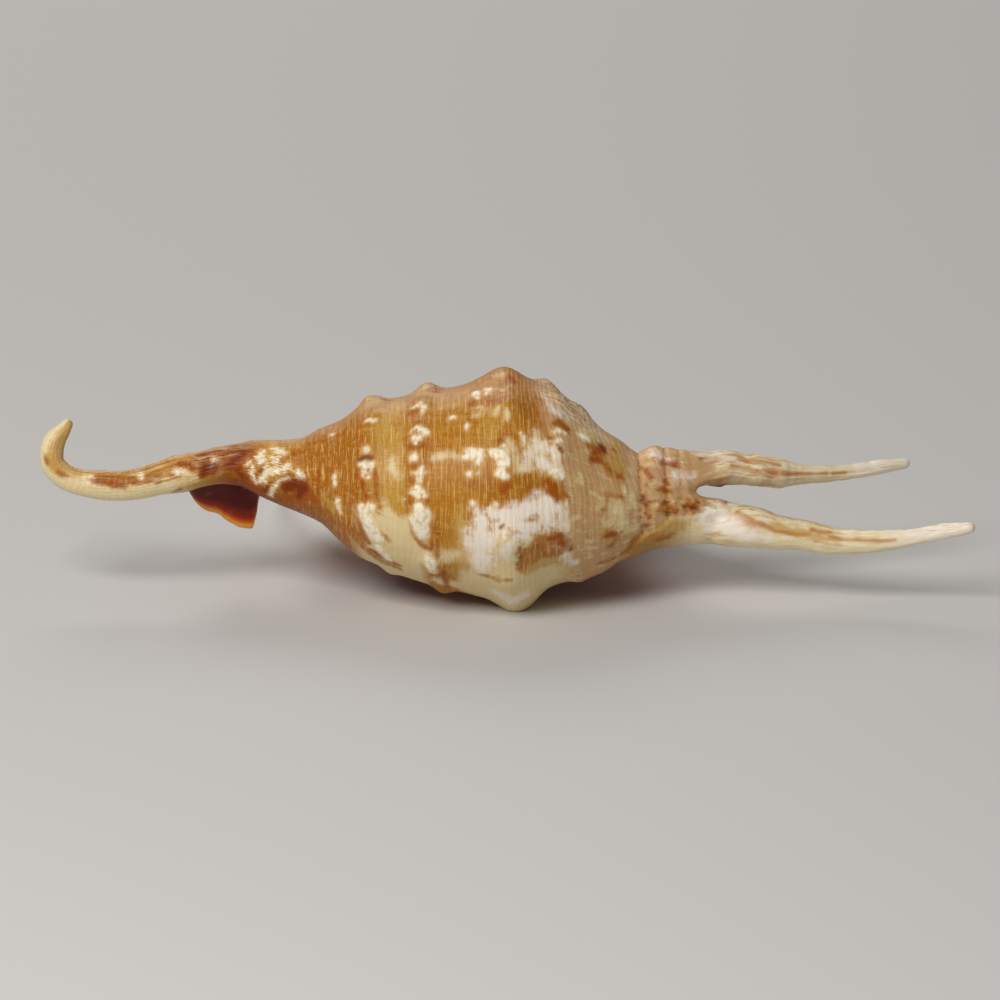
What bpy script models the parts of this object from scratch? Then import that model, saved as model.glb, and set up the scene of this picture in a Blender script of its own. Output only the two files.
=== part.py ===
"""A spider conch shell, one grown piece: a whorled body, a hooked canal, a flared lip, six digits.

The shell is drawn in millimetres, seen square on from its left side. x runs from the canal to the
spire, u goes up to its back, and w goes away from the viewer, towards its lip. Each station is one
loop around the coil axis, and phi is the angle in that loop: 0 at the lip side, 90 on the back,
180 on the viewer's side and 270 (or -90) underneath.
"""
import math

import bmesh
import bpy
import numpy as np

# Units, the roll about x from the drawing onto the points that the shell stands on, how deep the
# coil axis then lies over the ground, and the middle of the shell's footprint, which is the origin
MM = 0.001
REST_ROLL = math.radians(18.0)
STANDING_DEPTH = 15.9
FOOTPRINT_MIDDLE = (0.84, 23.12, 0.0)

# The hooked end of the canal, from its straight part to its tip: x, u and tube radius. Its loops
# lean square to the spine, and stand upright again between two places further on.
HOOK = ((-60.0, 1.8, 2.2), (-62.4, 2.1, 2.0), (-64.2, 2.55, 1.9), (-65.4, 3.15, 1.85),
        (-66.4, 4.05, 1.8), (-67.0, 4.8, 1.8), (-67.3, 5.7, 1.8), (-67.2, 7.2, 1.75),
        (-66.9, 8.2, 1.68), (-66.4, 9.0, 1.5), (-65.7, 9.8, 1.2), (-64.95, 10.85, 0.85))
SPINE_STEP = 0.25
UPRIGHT_AGAIN = (-46.0, -36.0)

# The side outline: x, height of the coil axis, top and bottom of the shell, without its knobs
SIDE = ((-60.0, 1.8, 4.05, -0.45), (-57.0, 1.65, 3.9, -0.6), (-54.0, 2.0, 4.3, -0.3),
        (-51.0, 2.8, 5.25, 0.3), (-48.0, 3.5, 6.3, 0.65), (-45.0, 4.1, 6.75, 1.5),
        (-42.0, 4.7, 7.5, 1.95), (-39.0, 4.9, 8.1, 1.65), (-36.0, 4.3, 8.55, 0.15),
        (-33.0, 3.6, 8.5, -1.2), (-30.0, 2.9, 8.8, -2.4), (-27.0, 2.2, 10.3, -3.8),
        (-24.0, 1.7, 11.5, -6.6), (-21.0, 1.35, 13.5, -9.0), (-18.0, 1.1, 14.3, -10.3),
        (-15.0, 0.85, 15.0, -11.7), (-10.5, 0.6, 15.9, -13.1), (-6.0, 0.35, 16.7, -14.2),
        (-3.0, 0.2, 17.4, -14.9), (0.75, 0.0, 17.9, -15.4), (4.5, -0.2, 17.3, -14.9),
        (7.5, -0.35, 16.4, -13.4), (10.5, -0.5, 14.2, -12.6), (13.5, -0.7, 11.7, -12.0),
        (15.0, -0.8, 10.4, -11.5), (18.0, -0.95, 8.55, -9.6), (20.6, -1.1, 6.85, -8.4),
        (23.4, -1.3, 7.6, -7.4), (26.0, -1.4, 7.25, -7.1), (29.0, -1.5, 6.85, -6.6))

# How far the shell reaches towards the viewer and away from them: x, left and right
BREADTH = ((-60.0, 2.2, 2.2), (-54.0, 2.25, 2.25), (-48.0, 2.75, 2.75), (-42.0, 2.8, 2.8),
           (-39.0, 3.2, 3.2), (-36.0, 4.2, 4.2), (-30.0, 5.8, 6.2), (-24.0, 9.2, 9.8),
           (-18.0, 12.6, 13.0), (-10.5, 15.3, 15.4), (0.0, 17.0, 16.8), (7.5, 15.4, 15.2),
           (15.0, 10.9, 11.0), (18.0, 9.0, 9.4), (20.6, 7.0, 8.0), (24.0, 5.3, 6.5),
           (27.0, 3.8, 5.2), (29.0, 2.8, 4.5))

# The lip's free edge: x, distance w, height u, slope in degrees and thickness
LIP = ((-48.9, 2.6, 2.6, -80.0, 1.0), (-47.7, 4.4, 0.6, -80.0, 1.1), (-46.7, 5.8, -1.0, -78.0, 1.2),
       (-45.4, 7.0, -2.1, -76.0, 1.3), (-42.6, 8.2, -3.1, -74.0, 1.4), (-38.8, 9.3, -4.6, -72.0, 1.5),
       (-37.3, 9.4, -4.7, -70.0, 1.5), (-36.7, 8.8, -2.9, -60.0, 1.5), (-36.2, 8.1, 0.2, -40.0, 1.6),
       (-35.4, 7.9, 1.9, -25.0, 1.8), (-34.0, 9.4, 2.2, -16.0, 2.0), (-31.0, 18.0, 2.0, -10.0, 2.2),
       (-27.5, 25.0, 2.0, -8.0, 2.4), (-24.0, 28.5, 2.0, -6.0, 2.5), (-17.0, 32.5, 2.0, -5.0, 2.5),
       (-10.5, 35.0, 2.0, -4.0, 2.6), (-4.0, 35.8, 2.0, -4.0, 2.6), (3.5, 36.0, 2.0, -4.0, 2.6),
       (9.5, 33.0, 2.3, -4.0, 2.6), (15.0, 29.5, 2.5, -4.0, 2.6), (19.0, 24.0, 2.4, -4.0, 2.6),
       (24.0, 14.5, 1.2, -6.0, 2.8), (27.0, 9.5, 0.5, -8.0, 3.0), (29.0, 7.0, 0.2, -8.0, 3.2))
LIP_BEGINS = (-48.9, -46.4)
WING_BEGINS = (-40.0, -34.0)
WING_PULLS = (0.9, 1.1)
WING_HOLLOW = 0.06

# The aperture: x, how far its cavity has opened (0 to 1), the lip's inner margin (w and height over
# the axis) and the inner whorls' share of the whorl's radius
APERTURE = ((-73.5, 0.0, 0.0, 0.0, 0.45), (-36.0, 0.0, 3.6, -2.8, 0.45),
            (-31.0, 0.16, 6.5, -3.2, 0.42), (-26.0, 0.6, 10.6, -3.8, 0.36),
            (-20.0, 0.95, 13.9, -4.4, 0.34), (-12.0, 1.0, 16.2, -4.8, 0.37),
            (-4.0, 1.0, 16.8, -4.8, 0.4), (5.0, 0.95, 16.0, -4.8, 0.45),
            (11.0, 0.7, 13.2, -5.4, 0.52), (16.0, 0.25, 8.8, -6.4, 0.6),
            (20.0, 0.0, 5.4, -6.5, 0.62), (25.0, 0.0, 3.4, -5.6, 0.62), (29.0, 0.0, 3.0, -4.8, 0.62))
APERTURE_ENDS = 25.5
GROOVE_BEGINS = -73.0
GROOVE_DEPTH = 0.12
WALL = 1.8

# Angles around a station, in degrees: the inner lip, where the lip leaves the whorl, the canal's
# lip, the back of the cavity closed and open, and what parts the cavity's two walls there
INNER_LIP = 292.0
TAKE_OFF = 46.0
TAKE_OFF_STEP = 5.0
CANAL_LIP = -46.0
CAVITY_BACK = (-60.0, 212.0)
CAVITY_PARTING = 4.0

# Knobs on the whorl: x, angle, height, half length along x and half width around
KNOBS = ((-18.9, 88.0, 1.1, 1.7, 2.6), (-18.6, 120.0, 0.5, 1.4, 2.2), (-18.4, 150.0, 0.4, 1.4, 2.0),
         (-18.4, 176.0, 0.4, 1.4, 2.0), (-18.8, 55.0, 1.0, 1.8, 2.6),
         (-11.0, 91.0, 1.4, 1.8, 2.5), (-11.6, 118.0, 0.6, 1.4, 2.0), (-12.0, 140.0, 0.5, 1.3, 1.8),
         (-12.2, 162.0, 0.5, 1.3, 1.8), (-12.2, 192.0, 0.6, 1.5, 2.4), (-10.6, 232.0, 0.5, 1.5, 2.2),
         (-8.6, 266.0, 0.9, 1.5, 2.4), (-16.6, 268.0, 0.5, 1.2, 2.0), (-10.8, 60.0, 1.5, 1.8, 2.8),
         (0.6, 92.0, 2.0, 3.4, 4.0), (1.6, 132.0, 0.8, 2.6, 3.2), (1.4, 168.0, 0.6, 2.4, 3.0),
         (1.6, 206.0, 0.6, 2.4, 3.0), (1.6, 238.0, 0.8, 2.4, 3.0), (2.6, 269.0, 2.2, 3.0, 3.6),
         (0.8, 50.0, 3.0, 3.6, 4.4),
         (6.9, 84.0, 1.1, 1.7, 2.4), (9.0, 112.0, 0.5, 1.2, 1.8), (9.3, 150.0, 0.4, 1.2, 1.8),
         (12.2, 84.0, 0.8, 1.3, 2.4), (12.0, 266.0, 0.5, 1.3, 2.0), (8.8, 56.0, 1.2, 1.8, 2.6))

# Digits that leave the spire end, as side views give them: x, u, w and radius
LOWER_DIGIT = ((32.0, -3.95, 0.5, 3.35), (34.0, -4.3, 0.4, 3.4), (36.5, -4.5, 0.4, 3.2),
               (39.0, -4.8, 0.4, 2.85),
               (42.0, -5.4, 0.3, 2.55), (45.0, -5.7, 0.1, 2.3), (48.0, -6.3, -0.2, 2.2),
               (51.0, -6.7, -0.6, 2.0), (54.0, -6.75, -1.1, 1.8), (57.0, -6.6, -1.7, 1.6),
               (60.0, -6.3, -2.4, 1.38), (63.0, -5.85, -3.1, 1.2), (66.0, -5.3, -3.9, 1.1),
               (69.0, -4.85, -4.7, 0.95), (70.6, -4.62, -5.1, 0.6))
UPPER_DIGIT = ((31.6, 4.4, 1.9, 2.6), (34.0, 4.65, 2.4, 2.3), (36.5, 4.4, 3.2, 2.15),
               (39.0, 4.0, 3.9, 2.3),
               (42.0, 3.6, 4.9, 2.2), (44.0, 3.5, 5.6, 1.75), (46.0, 3.45, 6.3, 1.42),
               (49.0, 3.5, 7.5, 1.28), (52.0, 3.7, 8.7, 1.15), (55.0, 4.1, 10.0, 1.0),
               (58.0, 4.65, 11.3, 0.85), (60.8, 5.05, 12.6, 0.5))

# Digits that leave the lip: where their root runs along x, the row of knobs that the rib on the
# lip's back comes from, and x, y, height and radius as the shell stands. A digit is round by its
# fourth ring, and its nose is drawn in to a share of the last.
LIP_DIGITS = (((-27.4, -21.2), -18.8, ((-25.8, 30.6, 9.6, 2.5), (-28.6, 34.6, 9.2, 2.1),
                                       (-31.2, 38.4, 7.8, 1.7), (-33.0, 42.4, 5.2, 1.3),
                                       (-33.4, 45.8, 2.4, 0.9), (-33.0, 48.4, 0.5, 0.5))),
              ((-14.0, -7.6), -10.6, ((-11.4, 38.6, 7.2, 2.5), (-11.2, 44.6, 7.0, 2.1),
                                      (-9.8, 50.6, 6.0, 1.65), (-7.2, 56.0, 4.6, 1.25),
                                      (-3.6, 60.4, 3.4, 0.9), (0.2, 63.0, 2.6, 0.5))),
              ((0.4, 6.8), 0.8, ((4.6, 38.8, 7.1, 2.5), (6.8, 44.6, 6.8, 2.1),
                                 (9.6, 50.0, 5.6, 1.65), (13.0, 54.4, 4.2, 1.25),
                                 (16.8, 57.6, 3.1, 0.9), (20.4, 59.2, 2.4, 0.5))),
              ((12.2, 18.2), 8.8, ((17.6, 32.8, 9.5, 2.5), (20.0, 38.0, 8.8, 2.1),
                                   (21.9, 43.4, 6.8, 1.65), (23.1, 48.4, 4.1, 1.2),
                                   (23.6, 52.6, 1.6, 0.85), (23.5, 55.4, 0.5, 0.5))))
RIB_HEIGHT = 1.0
RIB_WIDTH = 2.4
RIBS_BEGIN = (-34.0, -30.0)
ROOT_SWELL = 1.5
ROUND_BY = 3.0
NOSE_SHARE = 0.45

# Mesh: cells around the whorl, over the lip's back, around its edge and under it, and down a wall
# of the cavity; and the distance between stations along x
WHORL_CELLS = 24
BACK_CELLS = 5
EDGE_CELLS = 4
UNDER_CELLS = 4
CAVITY_CELLS = 6
SPACING = ((-75.0, 1.35), (-66.0, 1.5), (-61.0, 2.4), (-50.0, 2.0), (-47.5, 0.75), (-44.5, 0.9),
           (-41.0, 1.5), (-38.5, 0.8), (-37.2, 0.42), (-35.6, 0.45), (-34.0, 1.1), (-30.0, 1.6),
           (-20.0, 1.75), (15.0, 1.6), (29.0, 1.2))
CROTCH_CELLS = 4

# The spire's tip, in the hollow between the two digits beside it: its angle, spread in degrees and
# how far it stands out of the last loop
APEX_ANGLE = 184.0
APEX_SPREAD = 15.0
APEX_LENGTH = 2.6
APEX_RISES = (25.5, 29.0)
PARTING_ANGLE = 164.0

SHELL_COLOUR = (0.60, 0.32, 0.10, 1.0)
SHELL_ROUGHNESS = 0.35


def glide(table, position):
    """Reads the columns of a table at a position, along a smooth curve that never overshoots."""
    rows = np.array(table, dtype=float)
    places = rows[:, 0]
    values = rows[:, 1:]
    gaps = np.diff(places)[:, None]
    slopes = np.diff(values, axis=0) / gaps
    tangents = np.zeros_like(values)
    tangents[0] = slopes[0]
    tangents[-1] = slopes[-1]
    before = slopes[:-1]
    after = slopes[1:]
    agree = before * after > 0.0
    total = np.where(agree, before + after, 1.0)
    tangents[1:-1] = np.where(agree, 2.0 * before * after / total, 0.0)
    position = min(max(position, places[0]), places[-1])
    cell = int(min(max(np.searchsorted(places, position) - 1, 0), len(places) - 2))
    width = places[cell + 1] - places[cell]
    t = (position - places[cell]) / width
    start = (1.0 + 2.0 * t) * (1.0 - t) ** 2 * values[cell]
    start += t * (1.0 - t) ** 2 * width * tangents[cell]
    end = t * t * (3.0 - 2.0 * t) * values[cell + 1]
    end += t * t * (t - 1.0) * width * tangents[cell + 1]
    return start + end


def ramp(low, high, value):
    """Goes smoothly from 0 at low to 1 at high."""
    t = min(max((value - low) / (high - low), 0.0), 1.0)
    return t * t * (3.0 - 2.0 * t)


def along_hook():
    """The hook's points against the distance along it, counted down from its first x."""
    points = np.array(HOOK)
    steps = np.hypot(np.diff(points[:, 0]), np.diff(points[:, 1]))
    distance = HOOK[0][0] - np.concatenate(([0.0], np.cumsum(steps)))
    return np.column_stack((distance, points))[::-1]


HOOK_PATH = along_hook()
TIP = HOOK_PATH[0, 0]
STRAIGHT = HOOK[0][0]


def spine(place):
    """The middle of the loop at a place along the shell: x and u."""
    if place < STRAIGHT:
        return glide(HOOK_PATH, place)[:2]
    return np.array((place, glide(SIDE, place)[0]))


def reach(place):
    """Radii of the whorl at a place: up, left, down and right."""
    if place < STRAIGHT:
        radius = glide(HOOK_PATH, place)[2]
        return radius, radius, radius, radius
    axis, top, bottom = glide(SIDE, place)
    left, right = glide(BREADTH, place)
    return top - axis, left, axis - bottom, right


def knob_height(place, phi, radius):
    """Height of the knobs over the whorl at a place and an angle in degrees."""
    height = 0.0
    for x, angle, rise, length, width in KNOBS:
        along = (place - x) / length
        around = math.radians(phi - angle) * radius / width
        height += rise * math.exp(-along * along - around * around)
    return height


def on_whorl(place, phi, sink=0.0):
    """A point of the whorl's surface, or sunk below it, in the plane of the loop: w and up."""
    up, left, down, right = reach(place)
    angle = math.radians(phi)
    across = (right if math.cos(angle) > 0.0 else left) - sink
    rise = (up if math.sin(angle) > 0.0 else down) - sink
    return np.array((across * math.cos(angle), rise * math.sin(angle)))


def whorl_outline(place):
    """The outside of the whorl, from the inner lip underneath, up the viewer's side and over."""
    points = []
    for phi in np.linspace(INNER_LIP, TAKE_OFF, WHORL_CELLS + 1):
        point = on_whorl(place, phi)
        radius = np.linalg.norm(point)
        points.append(point * (1.0 + knob_height(place, phi, radius) / radius))
    return points


def rib_height(place, share):
    """Height of the ribs on the lip's back, a share of the way from the whorl to the edge."""
    height = 0.0
    for (start, end), row, _ in LIP_DIGITS:
        middle = row + (0.5 * (start + end) - row) * share
        offset = (place - middle) / RIB_WIDTH
        height += RIB_HEIGHT * math.exp(-offset * offset)
    return height * ramp(0.0, 0.3, share)


def root_swell(place):
    """How much thicker the lip's edge is where a digit leaves it."""
    swell = 0.0
    for (start, end), _, _ in LIP_DIGITS:
        offset = (place - 0.5 * (start + end)) / RIB_WIDTH
        swell += ROOT_SWELL * math.exp(-offset * offset)
    return swell


def bow(start, start_pull, end, end_pull, share):
    """A point on the smooth curve between two points that leaves and arrives along the pulls."""
    t = share
    curve = (1.0 + 2.0 * t) * (1.0 - t) ** 2 * start + t * (1.0 - t) ** 2 * start_pull
    return curve + t * t * (3.0 - 2.0 * t) * end + t * t * (t - 1.0) * end_pull


def lip_outline(place):
    """The lip from the whorl's take-off over its back, round its edge and under to its margin."""
    middle = spine(place)
    cells = BACK_CELLS + EDGE_CELLS + UNDER_CELLS
    around = np.linspace(TAKE_OFF, CANAL_LIP, cells + 1)[1:]
    tube = [on_whorl(place, phi) for phi in around]
    grown = ramp(LIP_BEGINS[0], LIP_BEGINS[1], place)
    if grown == 0.0:
        return tube
    far, height, slope, thickness = glide(LIP, place)
    _, margin_w, margin_up, _ = glide(APERTURE, place)
    outward = np.array((math.cos(math.radians(slope)), math.sin(math.radians(slope))))
    normal = np.array((-outward[1], outward[0]))
    tip = np.array((far, height - middle[1]))
    half = 0.5 * (thickness + root_swell(place))
    top = tip - outward * half + normal * half
    under = tip - outward * half - normal * half
    start = on_whorl(place, TAKE_OFF)
    before = on_whorl(place, TAKE_OFF + TAKE_OFF_STEP)
    span = np.linalg.norm(top - start)
    heading = (start - before) / np.linalg.norm(start - before)
    leaving = heading * span * WING_PULLS[0]
    arriving = outward * span * WING_PULLS[1]
    ribbed = ramp(*RIBS_BEGIN, place)
    flared = []
    for cell in range(1, BACK_CELLS + 1):
        share = cell / BACK_CELLS
        point = bow(start, leaving, top, arriving, share)
        flared.append(point + normal * rib_height(place, share) * ribbed)
    for turn in np.linspace(math.pi / 2.0, -math.pi / 2.0, EDGE_CELLS + 1)[1:]:
        flared.append(tip + half * (outward * (math.cos(turn) - 1.0) + normal * math.sin(turn)))
    wide = ramp(*WING_BEGINS, place)
    tube_margin = on_whorl(place, CANAL_LIP)
    margin = tube_margin * (1.0 - wide) + np.array((margin_w, margin_up)) * wide
    hollow = normal * np.linalg.norm(margin - under) * WING_HOLLOW * wide
    for cell in range(1, UNDER_CELLS + 1):
        share = cell / UNDER_CELLS
        flared.append(under + (margin - under) * share + hollow * math.sin(math.pi * share))
    return [old * (1.0 - grown) + new * grown for old, new in zip(tube, flared)]


def cavity_outline(place, margin):
    """The cavity, from the lip's margin along its outer wall and back along the inner whorl."""
    opened, _, _, core_share = glide(APERTURE, place)
    start = math.degrees(math.atan2(margin[1], margin[0]))
    finish = INNER_LIP - 360.0
    back = CAVITY_BACK[0] + (CAVITY_BACK[1] - CAVITY_BACK[0]) * opened
    depth = opened + (1.0 - opened) * GROOVE_DEPTH
    outer_wall = []
    inner_wall = []
    for cell in range(1, CAVITY_CELLS + 1):
        share = cell / CAVITY_CELLS
        phi = start + (back + CAVITY_PARTING - start) * share
        angle = math.radians(phi)
        core = on_whorl(place, phi) * core_share
        deep = core + (on_whorl(place, phi, WALL) - core) * depth
        rim = np.linalg.norm(margin) * np.array((math.cos(angle), math.sin(angle)))
        outer_wall.append(rim + (deep - rim) * ramp(0.0, max(0.25, 1.0 - opened), share))
        phi = finish + (back - CAVITY_PARTING - finish) * share
        core = on_whorl(place, phi) * core_share
        rim = on_whorl(place, phi)
        inner_wall.append(rim + (core - rim) * ramp(0.0, max(0.28, 1.0 - opened), share))
    return outer_wall + inner_wall[::-1]


def in_space(place, outline):
    """Places the flat points of a loop across the spine: x, w and u."""
    middle = spine(place)
    ahead = spine(place + SPINE_STEP)
    behind = spine(max(place - SPINE_STEP, TIP))
    lean = math.atan2(ahead[1] - behind[1], ahead[0] - behind[0])
    lean *= 1.0 - ramp(*UPRIGHT_AGAIN, place)
    apex = APEX_LENGTH * ramp(*APEX_RISES, place)
    points = []
    for across, up in outline:
        off_tip = (math.degrees(math.atan2(up, across)) % 360.0 - APEX_ANGLE) / APEX_SPREAD
        x = middle[0] - up * math.sin(lean) + apex * math.exp(-off_tip * off_tip)
        points.append((x, across, middle[1] + up * math.cos(lean)))
    return points


def stations():
    """Places along the shell, from the tip of the canal to the spire."""
    places = [TIP]
    while places[-1] < SIDE[-1][0] - 0.5:
        places.append(places[-1] + glide(SPACING, places[-1])[0])
    places[-1] = SIDE[-1][0]
    return places


def stand_up(point):
    """Rolls a drawn point onto the feet of the shell: x, y and z, with the ground at zero.

    The lowest knob ends in a worn flat where the ground cuts it.
    """
    x, w, u = point
    y = w * math.cos(REST_ROLL) + u * math.sin(REST_ROLL)
    z = u * math.cos(REST_ROLL) - w * math.sin(REST_ROLL) + STANDING_DEPTH
    return np.array((x, y, max(z, 0.0)))


def lay_over(point):
    """Turns a point of the standing shell back into the drawing: x, w and u."""
    x, y, z = point
    height = z - STANDING_DEPTH
    w = y * math.cos(REST_ROLL) - height * math.sin(REST_ROLL)
    return np.array((x, w, y * math.sin(REST_ROLL) + height * math.cos(REST_ROLL)))


class Skin:
    """The shell's surface as it is built: points in the drawing, and faces over them."""

    def __init__(self):
        self.points = []
        self.faces = []

    def add(self, points):
        first = len(self.points)
        self.points.extend(np.array(point, dtype=float) for point in points)
        return list(range(first, len(self.points)))

    def strip(self, one, other):
        """Joins two open rows of points with a row of faces."""
        for k in range(len(one) - 1):
            self.faces.append((one[k], one[k + 1], other[k + 1], other[k]))

    def sleeve(self, ring, other):
        """Joins two closed rings of points."""
        self.strip(ring + ring[:1], other + other[:1])

    def close(self, ring):
        """Rounds off a ring with a smaller one and a last face."""
        points = np.array([self.points[k] for k in ring])
        middle = points.mean(axis=0)
        nose = self.add(middle + (points - middle) * NOSE_SHARE)
        self.sleeve(ring, nose)
        self.faces.append(tuple(nose))


def grow(skin, root, path):
    """Grows a tapering digit from a ring of root points along rows of x, w, u and radius."""
    rim = np.array([skin.points[k] for k in root])
    centres = np.array([rim.mean(axis=0)] + [row[:3] for row in path])
    radii = [row[3] for row in path]
    spokes = rim - centres[0]
    lengths = np.linalg.norm(spokes, axis=1)
    lengths *= radii[0] / lengths.mean()
    directions = np.gradient(centres, axis=0)
    directions /= np.linalg.norm(directions, axis=1)[:, None]
    across = spokes[0]
    ring = root
    for step in range(len(path)):
        forward = directions[step + 1]
        across = across - forward * np.dot(across, forward)
        across /= np.linalg.norm(across)
        side = np.cross(forward, across)
        if step == 0:
            angles = np.unwrap(np.arctan2(spokes @ side, spokes @ across))
            turn = math.copysign(2.0 * math.pi, angles[-1] - angles[0])
            even = angles[0] + turn * np.arange(len(root)) / len(root)
        rounding = ramp(-0.5, ROUND_BY, step)
        angle = angles * (1.0 - rounding) + even * rounding
        size = lengths * (1.0 - rounding) + rounding * radii[step]
        circle = np.outer(np.cos(angle), across) + np.outer(np.sin(angle), side)
        new_ring = skin.add(centres[step + 1] + circle * size[:, None])
        skin.sleeve(ring, new_ring)
        ring = new_ring
    skin.close(ring)


def build_skin():
    """The whole surface: loops along the shell, the cavity, the lip's digits and the spire's two."""
    skin = Skin()
    places = stations()
    outlines = [whorl_outline(place) + lip_outline(place) for place in places]
    outside = [skin.add(in_space(place, outline)) for place, outline in zip(places, outlines)]
    count = len(outside[0])
    edge = WHORL_CELLS + BACK_CELLS

    roots = []
    for (start, end), _, rows in LIP_DIGITS:
        first = int(np.argmin(np.abs(np.array(places) - start)))
        last = int(np.argmin(np.abs(np.array(places) - end)))
        roots.append((first, last, rows))

    def is_root(i, j):
        inside = any(first <= i < last for first, last, _ in roots)
        return inside and edge <= j < edge + EDGE_CELLS

    for i in range(len(places) - 1):
        for j in range(count - 1):
            if not is_root(i, j):
                skin.strip(outside[i][j:j + 2], outside[i + 1][j:j + 2])

    opening = [i for i, place in enumerate(places) if GROOVE_BEGINS < place < APERTURE_ENDS]
    rows = {}
    for i in opening:
        inner = skin.add(in_space(places[i], cavity_outline(places[i], outlines[i][-1])))
        rows[i] = [outside[i][-1]] + inner + [outside[i][0]]
    for i in range(len(places) - 1):
        if i in rows and i + 1 in rows:
            skin.strip(rows[i], rows[i + 1])
        else:
            skin.strip([outside[i][-1], outside[i][0]], [outside[i + 1][-1], outside[i + 1][0]])
    for i in (opening[0], opening[-1]):
        half = CAVITY_CELLS + 1
        skin.strip(rows[i][:half], rows[i][half:][::-1])

    for first, last, path in roots:
        low = edge
        high = edge + EDGE_CELLS
        ring = [outside[i][low] for i in range(first, last + 1)]
        ring += [outside[last][j] for j in range(low + 1, high + 1)]
        ring += [outside[i][high] for i in range(last - 1, first - 1, -1)]
        ring += [outside[first][j] for j in range(high - 1, low, -1)]
        laid = [np.append(lay_over(row[:3]), row[3]) for row in path]
        grow(skin, ring, laid)

    last_loop = outside[-1]
    left = round((INNER_LIP - PARTING_ANGLE) / (INNER_LIP - TAKE_OFF) * WHORL_CELLS)
    right = edge + EDGE_CELLS // 2
    start = skin.points[last_loop[left]]
    end = skin.points[last_loop[right]]
    crotch = []
    for k in range(1, CROTCH_CELLS):
        share = k / CROTCH_CELLS
        crotch.append(start + (end - start) * share)
    crotch = skin.add(crotch)
    upper = last_loop[left:right + 1] + crotch[::-1]
    lower = last_loop[right:] + last_loop[:left + 1] + crotch
    for ring, rows in ((upper, UPPER_DIGIT), (lower, LOWER_DIGIT)):
        grow(skin, ring, [(x, w, u, radius) for x, u, w, radius in rows])

    skin.close(outside[0])
    return skin


def shell_material():
    material = bpy.data.materials.new("shell")
    material.use_nodes = True
    shader = material.node_tree.nodes["Principled BSDF"]
    shader.inputs["Base Color"].default_value = SHELL_COLOUR
    shader.inputs["Roughness"].default_value = SHELL_ROUGHNESS
    shader.inputs["Metallic"].default_value = 0.0
    material.diffuse_color = SHELL_COLOUR
    return material


def main():
    for item in list(bpy.data.objects):
        bpy.data.objects.remove(item)
    skin = build_skin()
    mesh = bpy.data.meshes.new("shell")
    points = [tuple((stand_up(point) - FOOTPRINT_MIDDLE) * MM) for point in skin.points]
    mesh.from_pydata(points, [], skin.faces)
    work = bmesh.new()
    work.from_mesh(mesh)
    bmesh.ops.recalc_face_normals(work, faces=work.faces)
    work.to_mesh(mesh)
    work.free()
    mesh.materials.append(shell_material())
    mesh.shade_smooth()
    shell = bpy.data.objects.new("shell", mesh)
    bpy.context.collection.objects.link(shell)


main()
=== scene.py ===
"""A spider conch shell as it lies on its opening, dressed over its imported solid."""
import math

import bmesh
import bpy
import numpy as np
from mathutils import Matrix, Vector


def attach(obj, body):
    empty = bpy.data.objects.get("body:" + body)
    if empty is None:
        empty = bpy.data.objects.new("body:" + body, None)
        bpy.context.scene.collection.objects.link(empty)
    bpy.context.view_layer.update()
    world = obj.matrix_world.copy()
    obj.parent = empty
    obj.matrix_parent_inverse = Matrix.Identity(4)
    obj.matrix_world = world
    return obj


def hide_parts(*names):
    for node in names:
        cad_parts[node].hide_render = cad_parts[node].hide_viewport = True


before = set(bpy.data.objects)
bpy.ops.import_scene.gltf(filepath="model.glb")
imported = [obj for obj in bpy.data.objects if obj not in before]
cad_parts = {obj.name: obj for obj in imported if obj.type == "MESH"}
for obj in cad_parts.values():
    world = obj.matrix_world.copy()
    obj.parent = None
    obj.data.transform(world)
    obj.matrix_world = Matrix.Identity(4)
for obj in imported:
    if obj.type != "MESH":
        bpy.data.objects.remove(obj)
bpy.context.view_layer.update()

# The shell. One grown piece of natural aragonite: a whorl coiled round a long axis, drawn out into
# a hooked canal at one end, with a lip that flares into a wing of digits. The mantle laid it down
# loop after loop, so it is drawn here as loops along its axis.

# Sizes are in millimetres. x runs from canal to spire, u up to the back and w away from the viewer;
# turn is the angle in a loop, in degrees. At rest the shell is rolled and centred on its footprint.
MM = 0.001
REST_ROLL = math.radians(18.0)
STANDING_DEPTH = 15.9
FOOTPRINT_MIDDLE = (0.84, 23.12, 0.0)

# The hooked end of the canal: x, u and tube radius
HOOK = ((-60.0, 1.8, 2.2), (-62.4, 2.1, 2.0), (-64.2, 2.55, 1.9), (-65.4, 3.15, 1.85),
        (-66.4, 4.05, 1.8), (-67.0, 4.8, 1.8), (-67.3, 5.7, 1.8), (-67.2, 7.2, 1.75),
        (-66.9, 8.2, 1.68), (-66.4, 9.0, 1.5), (-65.7, 9.8, 1.2), (-64.95, 10.85, 0.85))
SPINE_STEP = 0.25
UPRIGHT_AGAIN = (-46.0, -36.0)

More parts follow.
